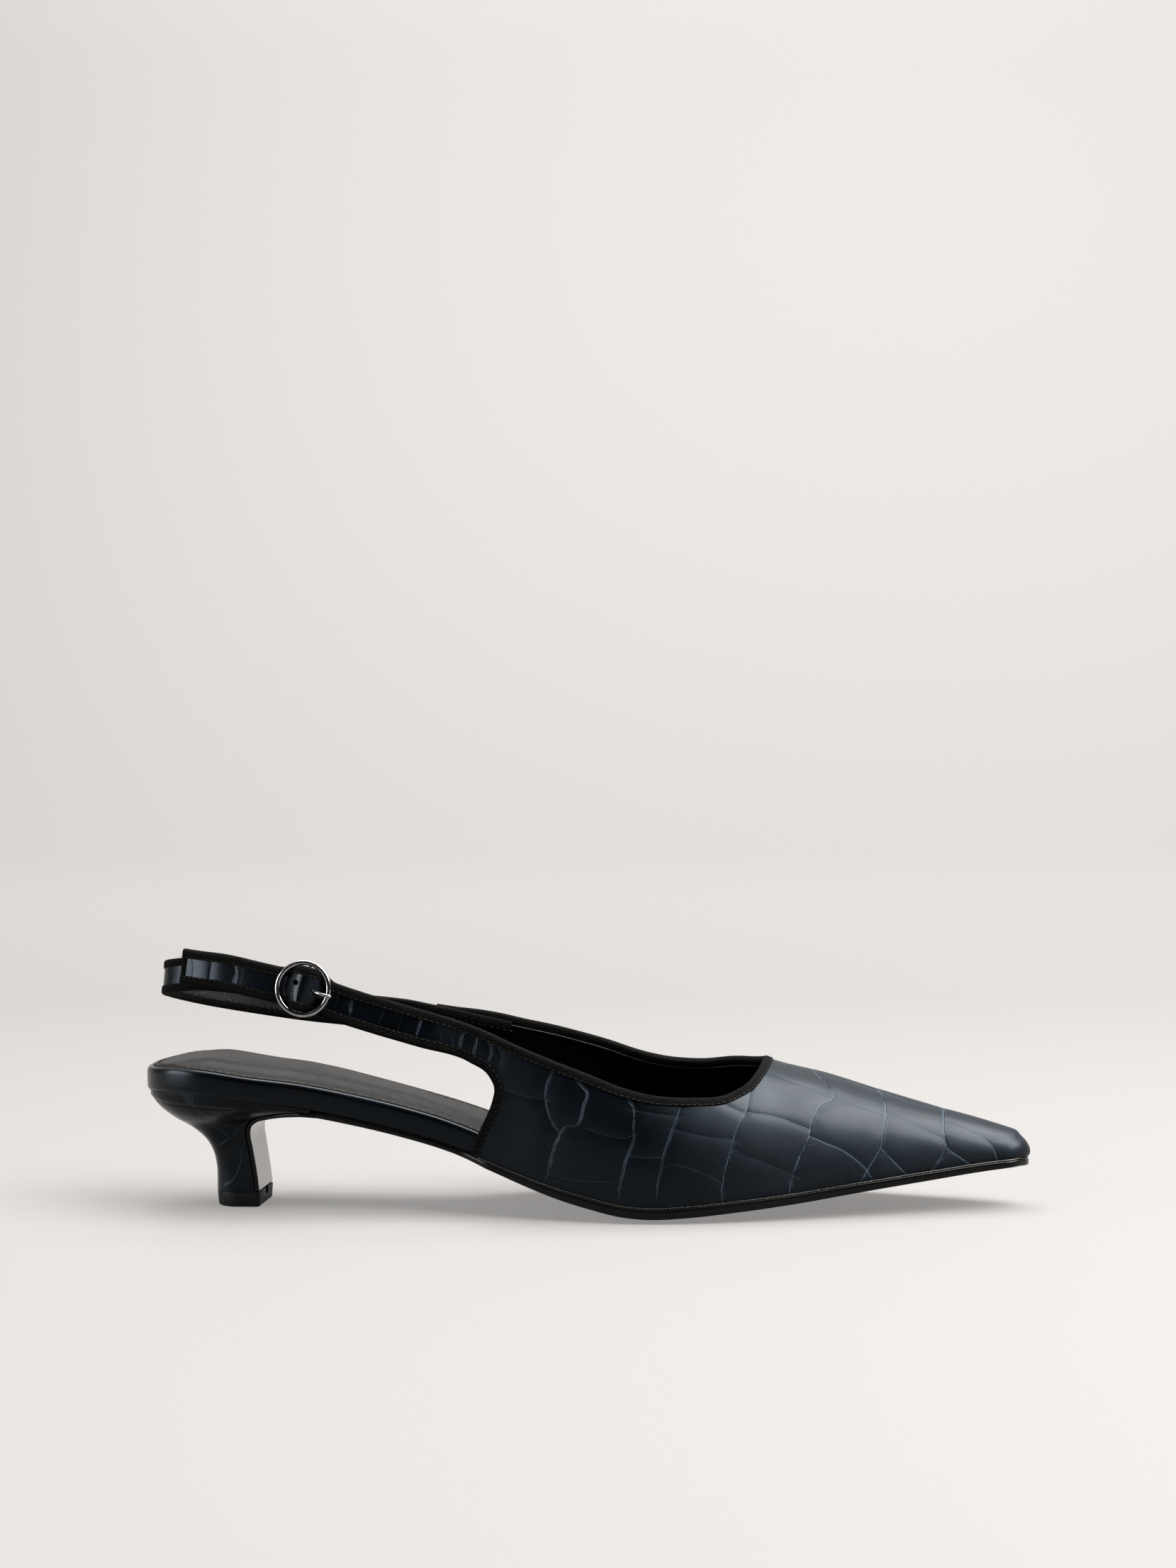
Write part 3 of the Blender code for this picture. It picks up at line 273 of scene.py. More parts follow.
# The back of the heel from the top piece to the seat: behind the origin as a share of LENGTH,
# height as a share of SEAT_HEIGHT, widest half width as a share of the seat's
HEEL_BACK = (
    (0.0282, 0.141, 0.395),
    (0.0280, 0.250, 0.392),
    (0.0283, 0.331, 0.392),
    (0.0316, 0.456, 0.405),
    (0.0394, 0.567, 0.455),
    (0.0561, 0.677, 0.560),
    (0.0751, 0.765, 0.700),
    (0.0937, 0.884, 0.870),
    (0.1025, 0.975, 0.965),
)


DENSE = np.linspace(0.0, 1.0, 1601)
_dense = {}


def cubic(rows, at):
    """The row of a table at a value of its first column, by cubic pieces."""
    table = np.array(rows, float)
    keys = table[:, 0]
    at = min(max(at, keys.min()), keys.max())
    k = int(min(max(np.searchsorted(keys, at) - 1, 0), len(keys) - 2))
    step = keys[k + 1] - keys[k]
    s = (at - keys[k]) / step

    def slope(i):
        if i in (0, len(keys) - 1):
            j = min(i, len(keys) - 2)
            return (table[j + 1] - table[j]) / (keys[j + 1] - keys[j])
        before = (table[i] - table[i - 1]) / (keys[i] - keys[i - 1])
        after = (table[i + 1] - table[i]) / (keys[i + 1] - keys[i])
        weight = (keys[i] - keys[i - 1]) / (keys[i + 1] - keys[i - 1])
        return before * (1 - weight) + after * weight

    h = np.array([2 * s**3 - 3 * s**2 + 1, s**3 - 2 * s**2 + s, -2 * s**3 + 3 * s**2, s**3 - s**2])
    return h[0] * table[k] + h[1] * step * slope(k) + h[2] * table[k + 1] + h[3] * step * slope(k + 1)


def smooth(rows, at):
    """The columns of a table at one or many values of its first column."""
    if id(rows) not in _dense:
        _dense[id(rows)] = np.array([cubic(rows, s) for s in DENSE]).T
    return [np.interp(at, DENSE, line) for line in _dense[id(rows)]]


def run_along(path):
    """Length along a path up to each of its points."""
    return np.concatenate([[0], np.cumsum(np.linalg.norm(np.diff(path, axis=0), axis=1))])


def along(points, count):
    """Points spaced evenly along a smooth curve through the given ones."""
    points = np.array(points, float)
    padded = np.vstack([2 * points[0] - points[1], points, 2 * points[-1] - points[-2]])
    fine = []
    for k in range(1, len(padded) - 2):
        p0, p1, p2, p3 = padded[k - 1 : k + 3]
        t1 = math.sqrt(np.linalg.norm(p1 - p0)) + 1e-9
        t2 = t1 + math.sqrt(np.linalg.norm(p2 - p1)) + 1e-9
        t3 = t2 + math.sqrt(np.linalg.norm(p3 - p2)) + 1e-9
        for t in np.linspace(t1, t2, 24, endpoint=k == len(padded) - 3):
            a1 = (t1 - t) / t1 * p0 + t / t1 * p1
            a2 = (t2 - t) / (t2 - t1) * p1 + (t - t1) / (t2 - t1) * p2
            a3 = (t3 - t) / (t3 - t2) * p2 + (t - t2) / (t3 - t2) * p3
            b1 = (t2 - t) / t2 * a1 + t / t2 * a2
            b2 = (t3 - t) / (t3 - t1) * a2 + (t - t1) / (t3 - t1) * a3
            fine.append((t2 - t) / (t2 - t1) * b1 + (t - t1) / (t2 - t1) * b2)
    fine = np.array(fine)
    length = run_along(fine)
    wanted = np.linspace(0, length[-1], count)
    return np.stack([np.interp(wanted, length, fine[:, i]) for i in range(fine.shape[1])], axis=1)


def unit(vectors):
    return vectors / np.maximum(np.linalg.norm(vectors, axis=-1, keepdims=True), 1e-12)


def share_at(x):
    return (x + HEEL_SETBACK) / LENGTH


def x_at(share):
    return share * LENGTH - HEEL_SETBACK


def rounded(distance, radius):
    """Rounds a width off to nothing within the radius of an end."""
    near = np.clip(np.asarray(distance, float) / radius, 0.0, 1.0)
    return np.sqrt(np.maximum(0.0, 1 - (1 - near) ** 2))


def middle(x):
    """The middle of the footbed's outline, and its half width there before its ends round off."""
    _, outer, inner = smooth(OUTLINE, share_at(x))
    return BALL_WIDTH * (inner - outer) / 2, BALL_WIDTH * (inner + outer) / 2


def edge_y(x, side, grow=0.0, back=0.0, front=0.0):
    """The footbed's outline, grown outwards. side is -1 outer or 1 inner."""
    centre, wide = middle(x)
    from_back = x + HEEL_SETBACK + back
    from_front = LENGTH - HEEL_SETBACK + front - x
    ends = rounded(from_back, SEAT_ROUND + back) * rounded(from_front, TOE_ROUND)
    return centre + side * (wide + grow) * ends


def sole_bottom(x, y=None):
    _, seat, toe, fore, _ = smooth(BOTTOM, share_at(x))
    centre, wide = middle(x)
    out = 0.0 if y is None else np.minimum(1.0, np.abs(y - centre) / wide)
    camber = SOLE_CAMBER * (0.35 + 0.65 * fore) * out**2.6
    return np.maximum(0.0, seat * SEAT_HEIGHT + toe * TOE_SPRING + camber)


def sole_top(x, y=None):
    fore = smooth(BOTTOM, share_at(x))[3]
    return sole_bottom(x, y) + SHANK_THICKNESS + fore * (SOLE_THICKNESS - SHANK_THICKNESS)


def board_bottom(x, y=None):
    return sole_top(x, y) + CLEARANCE


def board_top(x, y=None):
    thick = smooth(BOTTOM, share_at(x))[4]
    thick = FORE_BOARD_THICKNESS + thick * (BOARD_THICKNESS - FORE_BOARD_THICKNESS)
    return board_bottom(x, y) + thick


UPPER_GROW = CLEARANCE + WALL - BOARD_INSET


def last_point(x, turn, side):
    """Points on the outside of the upper: turn is 0 at the feather edge and 90 at the ridge."""
    x, turn = np.broadcast_arrays(np.asarray(x, float), np.asarray(turn, float))
    _, high, outer_bulge, inner_bulge = smooth(LAST, share_at(x))
    edge = edge_y(x, side, UPPER_GROW, 0.0, -TOE_TUCK)
    ridge_y = middle(x)[0]
    from_tip = LENGTH - HEEL_SETBACK - TOE_TUCK - x
    nose = rounded(from_tip, TOE_ROUND)
    full = rounded(from_tip, TOE_ROUND * 0.62)
    angle = np.radians(turn)
    cosine, sine = np.maximum(np.cos(angle), 0.0), np.maximum(np.sin(angle), 0.0)
    bulge = SIDE_BULGE * (outer_bulge if side < 0 else inner_bulge)
    out = (edge - ridge_y) * cosine ** (2 / FULLNESS)
    out = out + side * bulge * np.sin(2 * angle) * cosine * nose
    up = INSTEP * high * full * sine ** (2 / FULLNESS)
    level = np.minimum(1.0, up / (INSTEP * LAST[-1][1]))
    fade = np.maximum(0.0, 1 - from_tip / (2 * TOE_ROUND))
    ahead = NOSE_BULGE * (level * (1 - level) * 4) ** 0.75 * fade
    return np.stack([x + ahead, ridge_y + out, board_bottom(x, edge) + up], axis=-1)


def turn_at(x, height):
    high = INSTEP * smooth(LAST, share_at(x))[1]
    return np.degrees(np.arcsin(np.clip(height / high, 0.0, 1.0) ** (FULLNESS / 2)))


def wall_directions(x, z, side):
    """Along the last and up it, and the point itself, where its outside is at height z."""
    turn = turn_at(x, z - board_bottom(x, edge_y(x, side, UPPER_GROW)))
    here = last_point(x, turn, side)
    one = last_point(x + MM, turn_at(x + MM, z - board_bottom(x, edge_y(x, side, UPPER_GROW))), side)
    return unit(one - here), unit(last_point(x, turn + 1, side) - here), here


def strap_frame(path, outwards):
    """Directions along, across (up) and out of a strap at each point of its path."""
    ahead = unit(np.gradient(path, axis=0))
    up = np.array([0.0, 0.0, 1.0])
    out = unit(np.cross(ahead, up) * outwards)
    lean = math.radians(STRAP_LEAN)
    across = unit(up * math.cos(lean) - out * math.sin(lean))
    across = unit(across - ahead * np.sum(across * ahead, axis=1, keepdims=True))
    return ahead, across, unit(np.cross(ahead, across) * outwards)


def table_points(rows):
    return [(x_at(s), far * STRAP_SPAN, high * STRAP_HEIGHT) for s, high, far in rows]


RING_INNER = RING_RADIUS - RING_BAND
PRONG_HOLE = 0.557  # share of RING_INNER from the bar to the hole in use
BAR_OUT = 0.55 * MM  # the bar's axis in front of the strap's middle line
BUCKLE_RISE = 0.8 * MM  # of the buckle's centre over that line
LOOP_RADIUS = BAR_RADIUS + CLEARANCE + LOOP_THICKNESS
DOME = BAR_OUT + BAR_RADIUS + 2 * (PRONG_RADIUS + CLEARANCE) + WALL
FAN_START = 0.765  # share of LENGTH where the fanned rows meet the toe's
THROAT_BACK = 2.4 * MM  # the throat's front behind the part's, as in the photo
TAB_DROP = 1.5 * MM  # the far topline's end below the part's, as in the photo
NEAR_PATH = along(table_points(STRAP_OUTER), 1500)


def buckle_frame():
    at = int(np.argmin(np.abs(NEAR_PATH[:, 0] - x_at(BUCKLE_SHARE))))
    ahead, across, out = strap_frame(NEAR_PATH, -1)
    return NEAR_PATH[at] + across[at] * BUCKLE_RISE, -ahead[at], across[at], out[at]


ORIGIN, TOEWARDS, UPWARDS, OUTWARDS = buckle_frame()


def strap_stations(spacing):
    run = run_along(NEAR_PATH)
    at = int(np.argmin(np.abs(NEAR_PATH[:, 0] - x_at(BUCKLE_SHARE))))
    wanted = np.linspace(0, run[-1], int(run[-1] / spacing) + 1)
    _, across, _ = strap_frame(NEAR_PATH, -1)
    pick = np.stack([np.interp(wanted, run, NEAR_PATH[:, i]) for i in range(3)], axis=1)
    cross = np.stack([np.interp(wanted, run, across[:, i]) for i in range(3)], axis=1)
    return pick, unit(cross), run[at] - wanted


def hump(away, aside):
    """Share of DOME that the strap stands out over the buckle's bar."""
    aside = aside - BUCKLE_RISE
    reach = np.sqrt(np.maximum(RING_INNER**2 - aside**2, (3 * MM) ** 2)) + 0.3 * MM
    return np.where(np.abs(away) < reach, 0.5 + 0.5 * np.cos(math.pi * np.clip(away / reach, -1, 1)), 0.0)


def swell(value, low, high):
    share = np.clip((value - low * MM) / ((high - low) * MM), 0.0, 1.0)
    return share * share * (3 - 2 * share)


def spread(length, count):
    """Shares across a row: close columns at both bound edges, even ones between."""
    edge = BINDING_WIDTH / length
    ends = np.array([0.0, edge / 2, edge])
    return np.concatenate([ends, np.linspace(edge, 1 - edge, count + 2)[1:-1], 1 - ends[::-1]])


def toe_grid(side, count, columns):
    tip, end = LENGTH - HEEL_SETBACK - TOE_TUCK, x_at(FAN_START)
    x = tip - (tip - end) * (np.arange(count + 1) / count) ** 1.5
    return last_point(x[:, None], np.linspace(90, 0, columns + 1)[None, :], side)


def fan_grid(side, section, vamp, back, columns):
    """Rows that fan out from the throat and the topline down to the toe's section, the feather
    edge and the quarter's back edge. Also gives the number of its rows before that edge's."""
    topline = TOPLINE_OUTER if side < 0 else TOPLINE_INNER
    back_edge = BACK_EDGE_OUTER if side < 0 else BACK_EDGE_INNER
    back = back if side < 0 else int(back * 1.4)
    top = along([(x_at(s), turn * MM) for s, turn in topline], section + 1 + vamp + back)
    top[:, 0] -= THROAT_BACK * swell((share_at(top[:, 0]) - 0.585) / 0.115 * MM, 0.0, 1.0)
    edge = [(x_at(s), turn_at(x_at(s), high * INSTEP) * MM) for s, high in back_edge]
    edge = along(edge, back)
    start, end = x_at(FAN_START), edge[0][0] + BINDING_WIDTH * 0.3
    lows = [(start, turn * MM) for turn in np.linspace(90, 0, section + 1)]
    lows += [(start + (end - start) * k / vamp, 0.0) for k in range(1, vamp + 1)]
    lows = np.array(lows + [tuple(p) for p in edge])
    rows = []
    share = np.linspace(0, 1, 97)[:, None]
    for low, high in zip(lows, top):
        line = low + (high - low) * share
        fine = last_point(line[:, 0], line[:, 1] / MM, side)
        run = run_along(fine)
        wanted = spread(max(run[-1], 9 * MM), columns) * run[-1]
        rows.append(np.stack([np.interp(wanted, run, fine[:, i]) for i in range(3)], axis=1))
    return np.array(rows), section + 1 + vamp


def carried_on(rows, path, across, count, columns):
    """Rows that carry the quarter on into the strap, then the strap's own rows."""
    shares = spread(STRAP_WIDTH, columns)
    strap = path[:, None] + across[:, None] * (shares - 0.5)[None, :, None] * STRAP_WIDTH
    first, second = rows[-1], strap[0]
    gap = np.linalg.norm(second - first, axis=1)[:, None]
    leave, arrive = unit(rows[-1] - rows[-3]) * gap, unit(strap[2] - strap[0]) * gap
    between = []
    for s in np.linspace(0, 1, count + 2)[1:-1]:
        h = (2 * s**3 - 3 * s**2 + 1, s**3 - 2 * s**2 + s, -2 * s**3 + 3 * s**2, s**3 - s**2)
        between.append(h[0] * first + h[1] * leave + h[2] * second + h[3] * arrive)
    return np.concatenate([rows, np.array(between), strap]), len(rows) + count


# Shader nodes


class Field:
    """A value in a node tree, with arithmetic that adds the nodes."""

    def __init__(self, tree, socket):
        self.tree, self.socket = tree, socket

    def _math(self, kind, *others):
        node = self.tree.nodes.new("ShaderNodeMath")
        node.operation = kind
        for slot, value in zip(node.inputs, (self, *others)):
            if isinstance(value, Field):
                self.tree.links.new(value.socket, slot)
            else:
                slot.default_value = value
        return Field(self.tree, node.outputs[0])

    def __add__(self, other):
        return self._math("ADD", other)

    __radd__ = __add__

    def __sub__(self, other):
        return self._math("SUBTRACT", other)

    def __mul__(self, other):
        return self._math("MULTIPLY", other)

    __rmul__ = __mul__

    def __neg__(self):
        return self * -1.0

    def abs(self):
        return self._math("ABSOLUTE")

    def bell(self, centre, width):
        """1 at the centre, falling off smoothly over the width."""
        gap = (self - centre) * (1.0 / width)
        return (gap * gap * -1.0)._math("EXPONENT")

    def above(self, low, high):
        node = self.tree.nodes.new("ShaderNodeMapRange")
        node.interpolation_type = "SMOOTHSTEP"
        self.tree.links.new(self.socket, node.inputs["Value"])
        node.inputs["From Min"].default_value = low
        node.inputs["From Max"].default_value = high
        return Field(self.tree, node.outputs[0])


class Finish:
    """A material under construction."""

    def __init__(
        self, name, colour, roughness, metallic=0.0, coat=0.0, coat_roughness=0.1, sheen=0.0, shine=0.5
    ):
        self.material = bpy.data.materials.new(name)
        self.material.use_nodes = True
        self.tree = self.material.node_tree
        self.shader = self.tree.nodes["Principled BSDF"]
        for key, value in (
            ("Roughness", roughness),
            ("Metallic", metallic),
            ("Coat Weight", coat),
            ("Coat Roughness", coat_roughness),
            ("Sheen Weight", sheen),
            ("Specular IOR Level", shine),
        ):
            self.shader.inputs[key].default_value = value
        self.shader.inputs["Base Color"].default_value = (*colour, 1.0)
        self.place = self.tree.nodes.new("ShaderNodeTexCoord").outputs["Object"]

    def noise(self, scale, detail=3.0, stretch=None):
        place = self.place
        if stretch:
            node = self.tree.nodes.new("ShaderNodeMapping")
            node.inputs["Scale"].default_value = stretch
            self.tree.links.new(place, node.inputs["Vector"])
            place = node.outputs[0]
        node = self.tree.nodes.new("ShaderNodeTexNoise")
        node.inputs["Scale"].default_value = scale
        node.inputs["Detail"].default_value = detail
        self.tree.links.new(place, node.inputs["Vector"])
        return Field(self.tree, node.outputs[0])

    def cells(self, scale):
        node = self.tree.nodes.new("ShaderNodeTexVoronoi")
        node.feature = "DISTANCE_TO_EDGE"
        node.inputs["Scale"].default_value = scale
        self.tree.links.new(self.place, node.inputs["Vector"])
        return Field(self.tree, node.outputs["Distance"])

    def axis(self, name):
        node = self.tree.nodes.new("ShaderNodeSeparateXYZ")
        self.tree.links.new(self.place, node.inputs[0])
        return Field(self.tree, node.outputs[name])

    def attribute(self, name):
        node = self.tree.nodes.new("ShaderNodeAttribute")
        node.attribute_name = name
        return Field(self.tree, node.outputs["Fac"])

    def colour(self, amount, first, second):
        """Mixes two colours, or a colour over an earlier mix, by an amount."""
        node = self.tree.nodes.new("ShaderNodeMix")
        node.data_type = "RGBA"
        self.tree.links.new(amount.socket, node.inputs["Factor"])
        for slot, value in ((node.inputs[6], first), (node.inputs[7], second)):
            if isinstance(value, tuple):
                slot.default_value = (*value, 1.0)
            else:
                self.tree.links.new(value, slot)
        self.tree.links.new(node.outputs[2], self.shader.inputs["Base Color"])
        return node.outputs[2]

    def feed(self, name, field):
        self.tree.links.new(field.socket, self.shader.inputs[name])

    def bump(self, height, distance, strength=1.0):
        node = self.tree.nodes.new("ShaderNodeBump")
        node.inputs["Strength"].default_value = strength
        node.inputs["Distance"].default_value = distance
        self.tree.links.new(height.socket, node.inputs["Height"])
        self.tree.links.new(node.outputs[0], self.shader.inputs["Normal"])


def navy_leather(name, embossed):
    """Navy patent leather, with the large scales' creases where the mesh holds them: painted highlights
    along their edges and painted shade in their grooves.
    """
    navy = (0.0002, 0.0003, 0.0006)
    made = Finish(name, navy, 0.3, coat=0.075, coat_roughness=0.24, sheen=0.04, shine=0.115)
    made.shader.inputs["Specular Tint"].default_value = (0.62, 0.82, 1.0, 1.0)
    made.shader.inputs["Sheen Roughness"].default_value = 0.3
    cloud, fine = made.noise(42.0, 4.0), made.noise(1500.0, 2.0)
    mottle_and_painted_crease_light = made.colour(cloud.above(0.35, 0.72), (0.00005, 0.0001, 0.0002), (0.0002, 0.0004, 0.0009))
    forward = made.axis("X").above(x_at(0.50), x_at(0.74))
    quarter = made.axis("X").above(x_at(0.36), x_at(0.44))
    rough = cloud * 0.22 + 0.13 + fine * 0.05 + forward * 0.24 + quarter * 0.05
    height = fine * 0.04 + made.noise(230.0, 3.0) * 0.13 + made.noise(75.0, 2.0) * 0.30
    if embossed:
        main, minor, near = (made.attribute(key) for key in ("fold", "line", "near"))
        wander = (made.noise(340.0, 3.0) - 0.5) * 0.55
        main, minor = main + wander, minor + wander * 0.5
        close = near.bell(0.0, 1.2)
        broken = made.noise(190.0, 4.0).above(0.32, 0.54)
        # painted highlights: lip, second and thread mix a pale blue into the colour along the creases' edges
        # and fine lines; lip, second and thread also raise the bump
        lip_with_painted_highlight = main.bell(-0.30, 0.14) * close * broken
        second = main.bell(0.38, 0.11) * close * made.noise(150.0, 3.0).above(0.45, 0.62)
        thread = minor.bell(0.03, 0.11) * near.bell(0.0, 0.8) * made.noise(90.0, 3.0).above(0.26, 0.46)
        # painted highlight: a faint lighter blue all round the creases
        painted_crease_highlight = near.bell(0.0, 1.3)
        # painted shade: deep darkens the colour in the creases' grooves, besides sinking them in the bump
        deep = main.bell(0.0, 0.17) * close + minor.bell(-0.14, 0.09) * near.bell(0.0, 0.6) * 0.5
        mottle_and_painted_crease_light = made.colour(painted_crease_highlight * 0.22 * broken, mottle_and_painted_crease_light, (0.0018, 0.004, 0.008))
        mottle_and_painted_crease_light = made.colour(deep, mottle_and_painted_crease_light, (0.0001, 0.0002, 0.0003))
        made.colour(lip_with_painted_highlight * 0.85 + second * 0.50 + thread * 0.70, mottle_and_painted_crease_light, (0.038, 0.060, 0.080))
        pull = made.noise(260.0, 4.0, (1.0, 1.0, 3.0)) * main.bell(0.0, 1.6) * near.bell(0.0, 1.8)
        creased = made.noise(330.0, 3.0, (1.0, 1.0, 0.22)).above(0.42, 0.75)
        strap = (made.axis("X") * -1.0).above(-x_at(0.45), -x_at(0.38))
        creased = creased * strap * made.noise(60.0, 2.0).above(0.42, 0.6)
        rough = rough + deep * 0.3 + lip_with_painted_highlight * 0.1
        height = height - deep * 0.8 + lip_with_painted_highlight * 0.5 + second * 0.3 + thread * 0.28 + pull * 0.7 + creased * 0.35
        made.bump(height, 0.00036, 0.75)
    else:
        made.bump(height, 0.00012, 0.45)
    made.feed("Roughness", rough)
    return made.material


def plain_leather(name, colour, lighter, roughness, grain, depth, coat=0.0, shine=0.4):
    """Leather, rubber or thread between two colours; grain is its pores to the metre, depth theirs."""
    made = Finish(name, colour, roughness, coat=coat, coat_roughness=0.2, shine=shine)
    cloud = made.noise(55.0, 4.0)
    made.colour(cloud.above(0.3, 0.8), colour, lighter)
    pores = made.cells(grain).above(0.0, 0.12)
    made.feed("Roughness", cloud * 0.14 + (roughness - 0.07) + pores * -0.03)
    made.bump(pores * 0.6 + made.noise(grain * 0.35, 4.0) * 0.5, depth, 0.6)
    return made.material


def suede(name, colour, lighter):
    """A dull napped ribbon with a faint weave."""
    made = Finish(name, colour, 0.9, shine=0.04)
    nap = made.noise(2600.0, 5.0)
    weave = made.noise(1900.0, 1.0, (0.35, 1.0, 1.6)).above(0.3, 0.7)
    made.colour(nap.above(0.35, 0.72) * made.noise(140.0, 3.0).above(0.3, 0.8), colour, lighter)
    made.feed("Roughness", nap * 0.15 + 0.76)
    made.bump(nap + weave * 0.8 + made.noise(700.0, 3.0) * 0.7, 0.00026, 0.9)
    return made.material


def metal(name):
    made = Finish(name, (0.36, 0.36, 0.38), 0.2, metallic=1.0)
    wear = made.noise(420.0, 4.0, (1.0, 1.0, 5.0))
    made.colour(wear.above(0.3, 0.8), (0.24, 0.235, 0.24), (0.36, 0.355, 0.36))
    made.feed("Roughness", wear * 0.10 + 0.10)
    made.bump(wear, 0.00004, 0.4)
    return made.material


CROC = navy_leather("navy_croc", True)
NAVY = navy_leather("navy_smooth", False)
LINING = plain_leather(
    "black_lining", (0.00005, 0.00005, 0.00004), (0.0001, 0.0001, 0.0001), 0.85, 1400.0, 0.00008, 0.0, 0.008
)
# painted sheen: this lining is a lighter grey than the black lining, standing in for reflected light on top
# of its real gloss
GLOSSY_LINING_PAINTED_SHEEN = plain_leather(
    "glossy_lining_painted_sheen", (0.006, 0.006, 0.0066), (0.011, 0.011, 0.012), 0.34, 900.0, 0.00016, 0.15, 0.16
)
SOCK = plain_leather(
    "sock_leather", (0.0011, 0.001, 0.001), (0.0021, 0.002, 0.0019), 0.44, 1500.0, 0.00013, 0.0, 0.11
)
BINDING = suede("black_binding", (0.0003, 0.00025, 0.0002), (0.0018, 0.0016, 0.0014))
EDGE = plain_leather(
    "sole_edge", (0.0004, 0.0004, 0.0004), (0.0008, 0.0008, 0.0007), 0.2, 1500.0, 0.00003, 0.15, 0.06
)
POLISH = plain_leather(
    "polished_breast", (0.010, 0.010, 0.010), (0.014, 0.0138, 0.0136), 0.3, 1500.0, 0.00003, 1.0, 0.4
)
WELT = plain_leather(
    "welt_thread", (0.001, 0.001, 0.001), (0.010, 0.0096, 0.009), 0.2, 700.0, 0.00018, 0.25, 0.15
)
RUBBER = plain_leather(
    "tip_rubber", (0.0008, 0.0008, 0.0007), (0.0015, 0.0015, 0.0014), 0.5, 1100.0, 0.00008, 0.0, 0.10
)
THREAD = plain_leather(
    "black_thread", (0.0004, 0.0004, 0.0003), (0.002, 0.0018, 0.0017), 0.4, 3000.0, 0.00004, 0.0, 0.12
)
METAL = metal("gunmetal")


# Mesh helpers


def solid(name, points, faces, finishes, kinds=None, crease=None, angle=40.0):
    """A mesh object at the origin; kinds gives each face its finish."""
    mesh = bpy.data.meshes.new(name)
    mesh.from_pydata(np.asarray(points).tolist(), [], [tuple(int(v) for v in f) for f in faces])
    mesh.validate()
    made = bpy.data.objects.new(name, mesh)
    bpy.context.scene.collection.objects.link(made)
    for finish in finishes if isinstance(finishes, (list, tuple)) else [finishes]:
        mesh.materials.append(finish)
    if kinds is not None and len(kinds) == len(mesh.polygons):
        mesh.polygons.foreach_set("material_index", np.asarray(kinds, np.int32))
    for key, values in (crease or {}).items():
        layer = mesh.attributes.new(key, "FLOAT", "POINT")
        layer.data.foreach_set("value", np.asarray(values, np.float32))
    mesh.shade_smooth()
    mesh.set_sharp_from_angle(angle=math.radians(angle))
    return made


def placed(made, node, hides=True):
    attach(made, "root")
    if hides:
        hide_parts(node)
    return made


def loft(loops, ring=False):
    """Points and faces of closed loops joined in order, capped across unless they form a ring."""
    loops = np.array(loops)
    count, size = loops.shape[:2]
    faces = []
    for k in range(count if ring else count - 1):
        m = (k + 1) % count
        for i in range(size):
            j = (i + 1) % size
            faces.append((k * size + i, k * size + j, m * size + j, m * size + i))
    if not ring:
        faces += [tuple(range(size))[::-1], tuple(range((count - 1) * size, count * size))]
    return loops.reshape(-1, 3), faces


def outwards(points, faces):
    """The same faces, turned so that the closed mesh's volume is positive."""
    total = 0.0
    points = np.asarray(points)
    for face in faces:
        a = points[face[0]]
        for i in range(1, len(face) - 1):
            total += np.dot(a, np.cross(points[face[i]], points[face[i + 1]]))
    return faces if total > 0 else [f[::-1] for f in faces]


def ring_stack(rings, low, high, columns):
    """A slab: matching rings from bottom to top, closed by the surfaces low and high."""
    size = len(rings[0])
    points = [p for ring in rings for p in ring]
    faces = []
    for k in range(len(rings) - 1):
        for i in range(size):
            j = (i + 1) % size
            faces.append((k * size + i, k * size + j, (k + 1) * size + j, (k + 1) * size + i))
    for base, surface, top in ((0, low, False), ((len(rings) - 1) * size, high, True)):
        previous = None
        for i in range(size // 2 + 1):
            a, b = base + i, base + (size - i) % size
            line = [a] * (columns + 1)
            if a != b:
                line = [a]
                for c in range(1, columns):
                    at = points[a] + (points[b] - points[a]) * c / columns
                    points.append(np.array([at[0], at[1], surface(at[0], at[1])]))
                    line.append(len(points) - 1)
                line.append(b)
            if previous:
                for c in range(columns):
                    face = (previous[c], previous[c + 1], line[c + 1], line[c])
                    face = tuple(dict.fromkeys(face))
                    if len(face) > 2:
                        faces.append(face if top else face[::-1])
            previous = line
    return np.array(points), faces


def outline_ring(count, inset, height, back, front):
    """A ring round the footbed's outline between two ends, moved in by inset, at height(x, y)."""
    line = []
    for side in (-1, 1):
        turns = np.linspace(0, math.pi, count + 1)
        stations = [back + (front - back) * (1 - math.cos(t)) / 2 for t in turns]
        for x in (stations if side < 0 else stations[::-1])[:-1]:
            y = edge_y(x, side, 0.0, -HEEL_SETBACK - back, front - LENGTH + HEEL_SETBACK)
            line.append((x, float(y)))
    line = np.array(line)
    tangent = unit(np.roll(line, -1, axis=0) - np.roll(line, 1, axis=0))
    moved = line + np.stack([-tangent[:, 1], tangent[:, 0]], axis=1) * inset
    heights = height(moved[:, 0], moved[:, 1])
    return [np.array([x, y, z]) for (x, y), z in zip(moved, heights)]


def normals_of(points, faces):
    quads = np.array(faces)
    a, b, c, d = (points[quads[:, i]] for i in range(4))
    face_normals = np.cross(c - a, d - b)
    normals = np.zeros(points.shape)
    for i in range(4):
        np.add.at(normals, quads[:, i], face_normals)
    return unit(normals)


# Upper

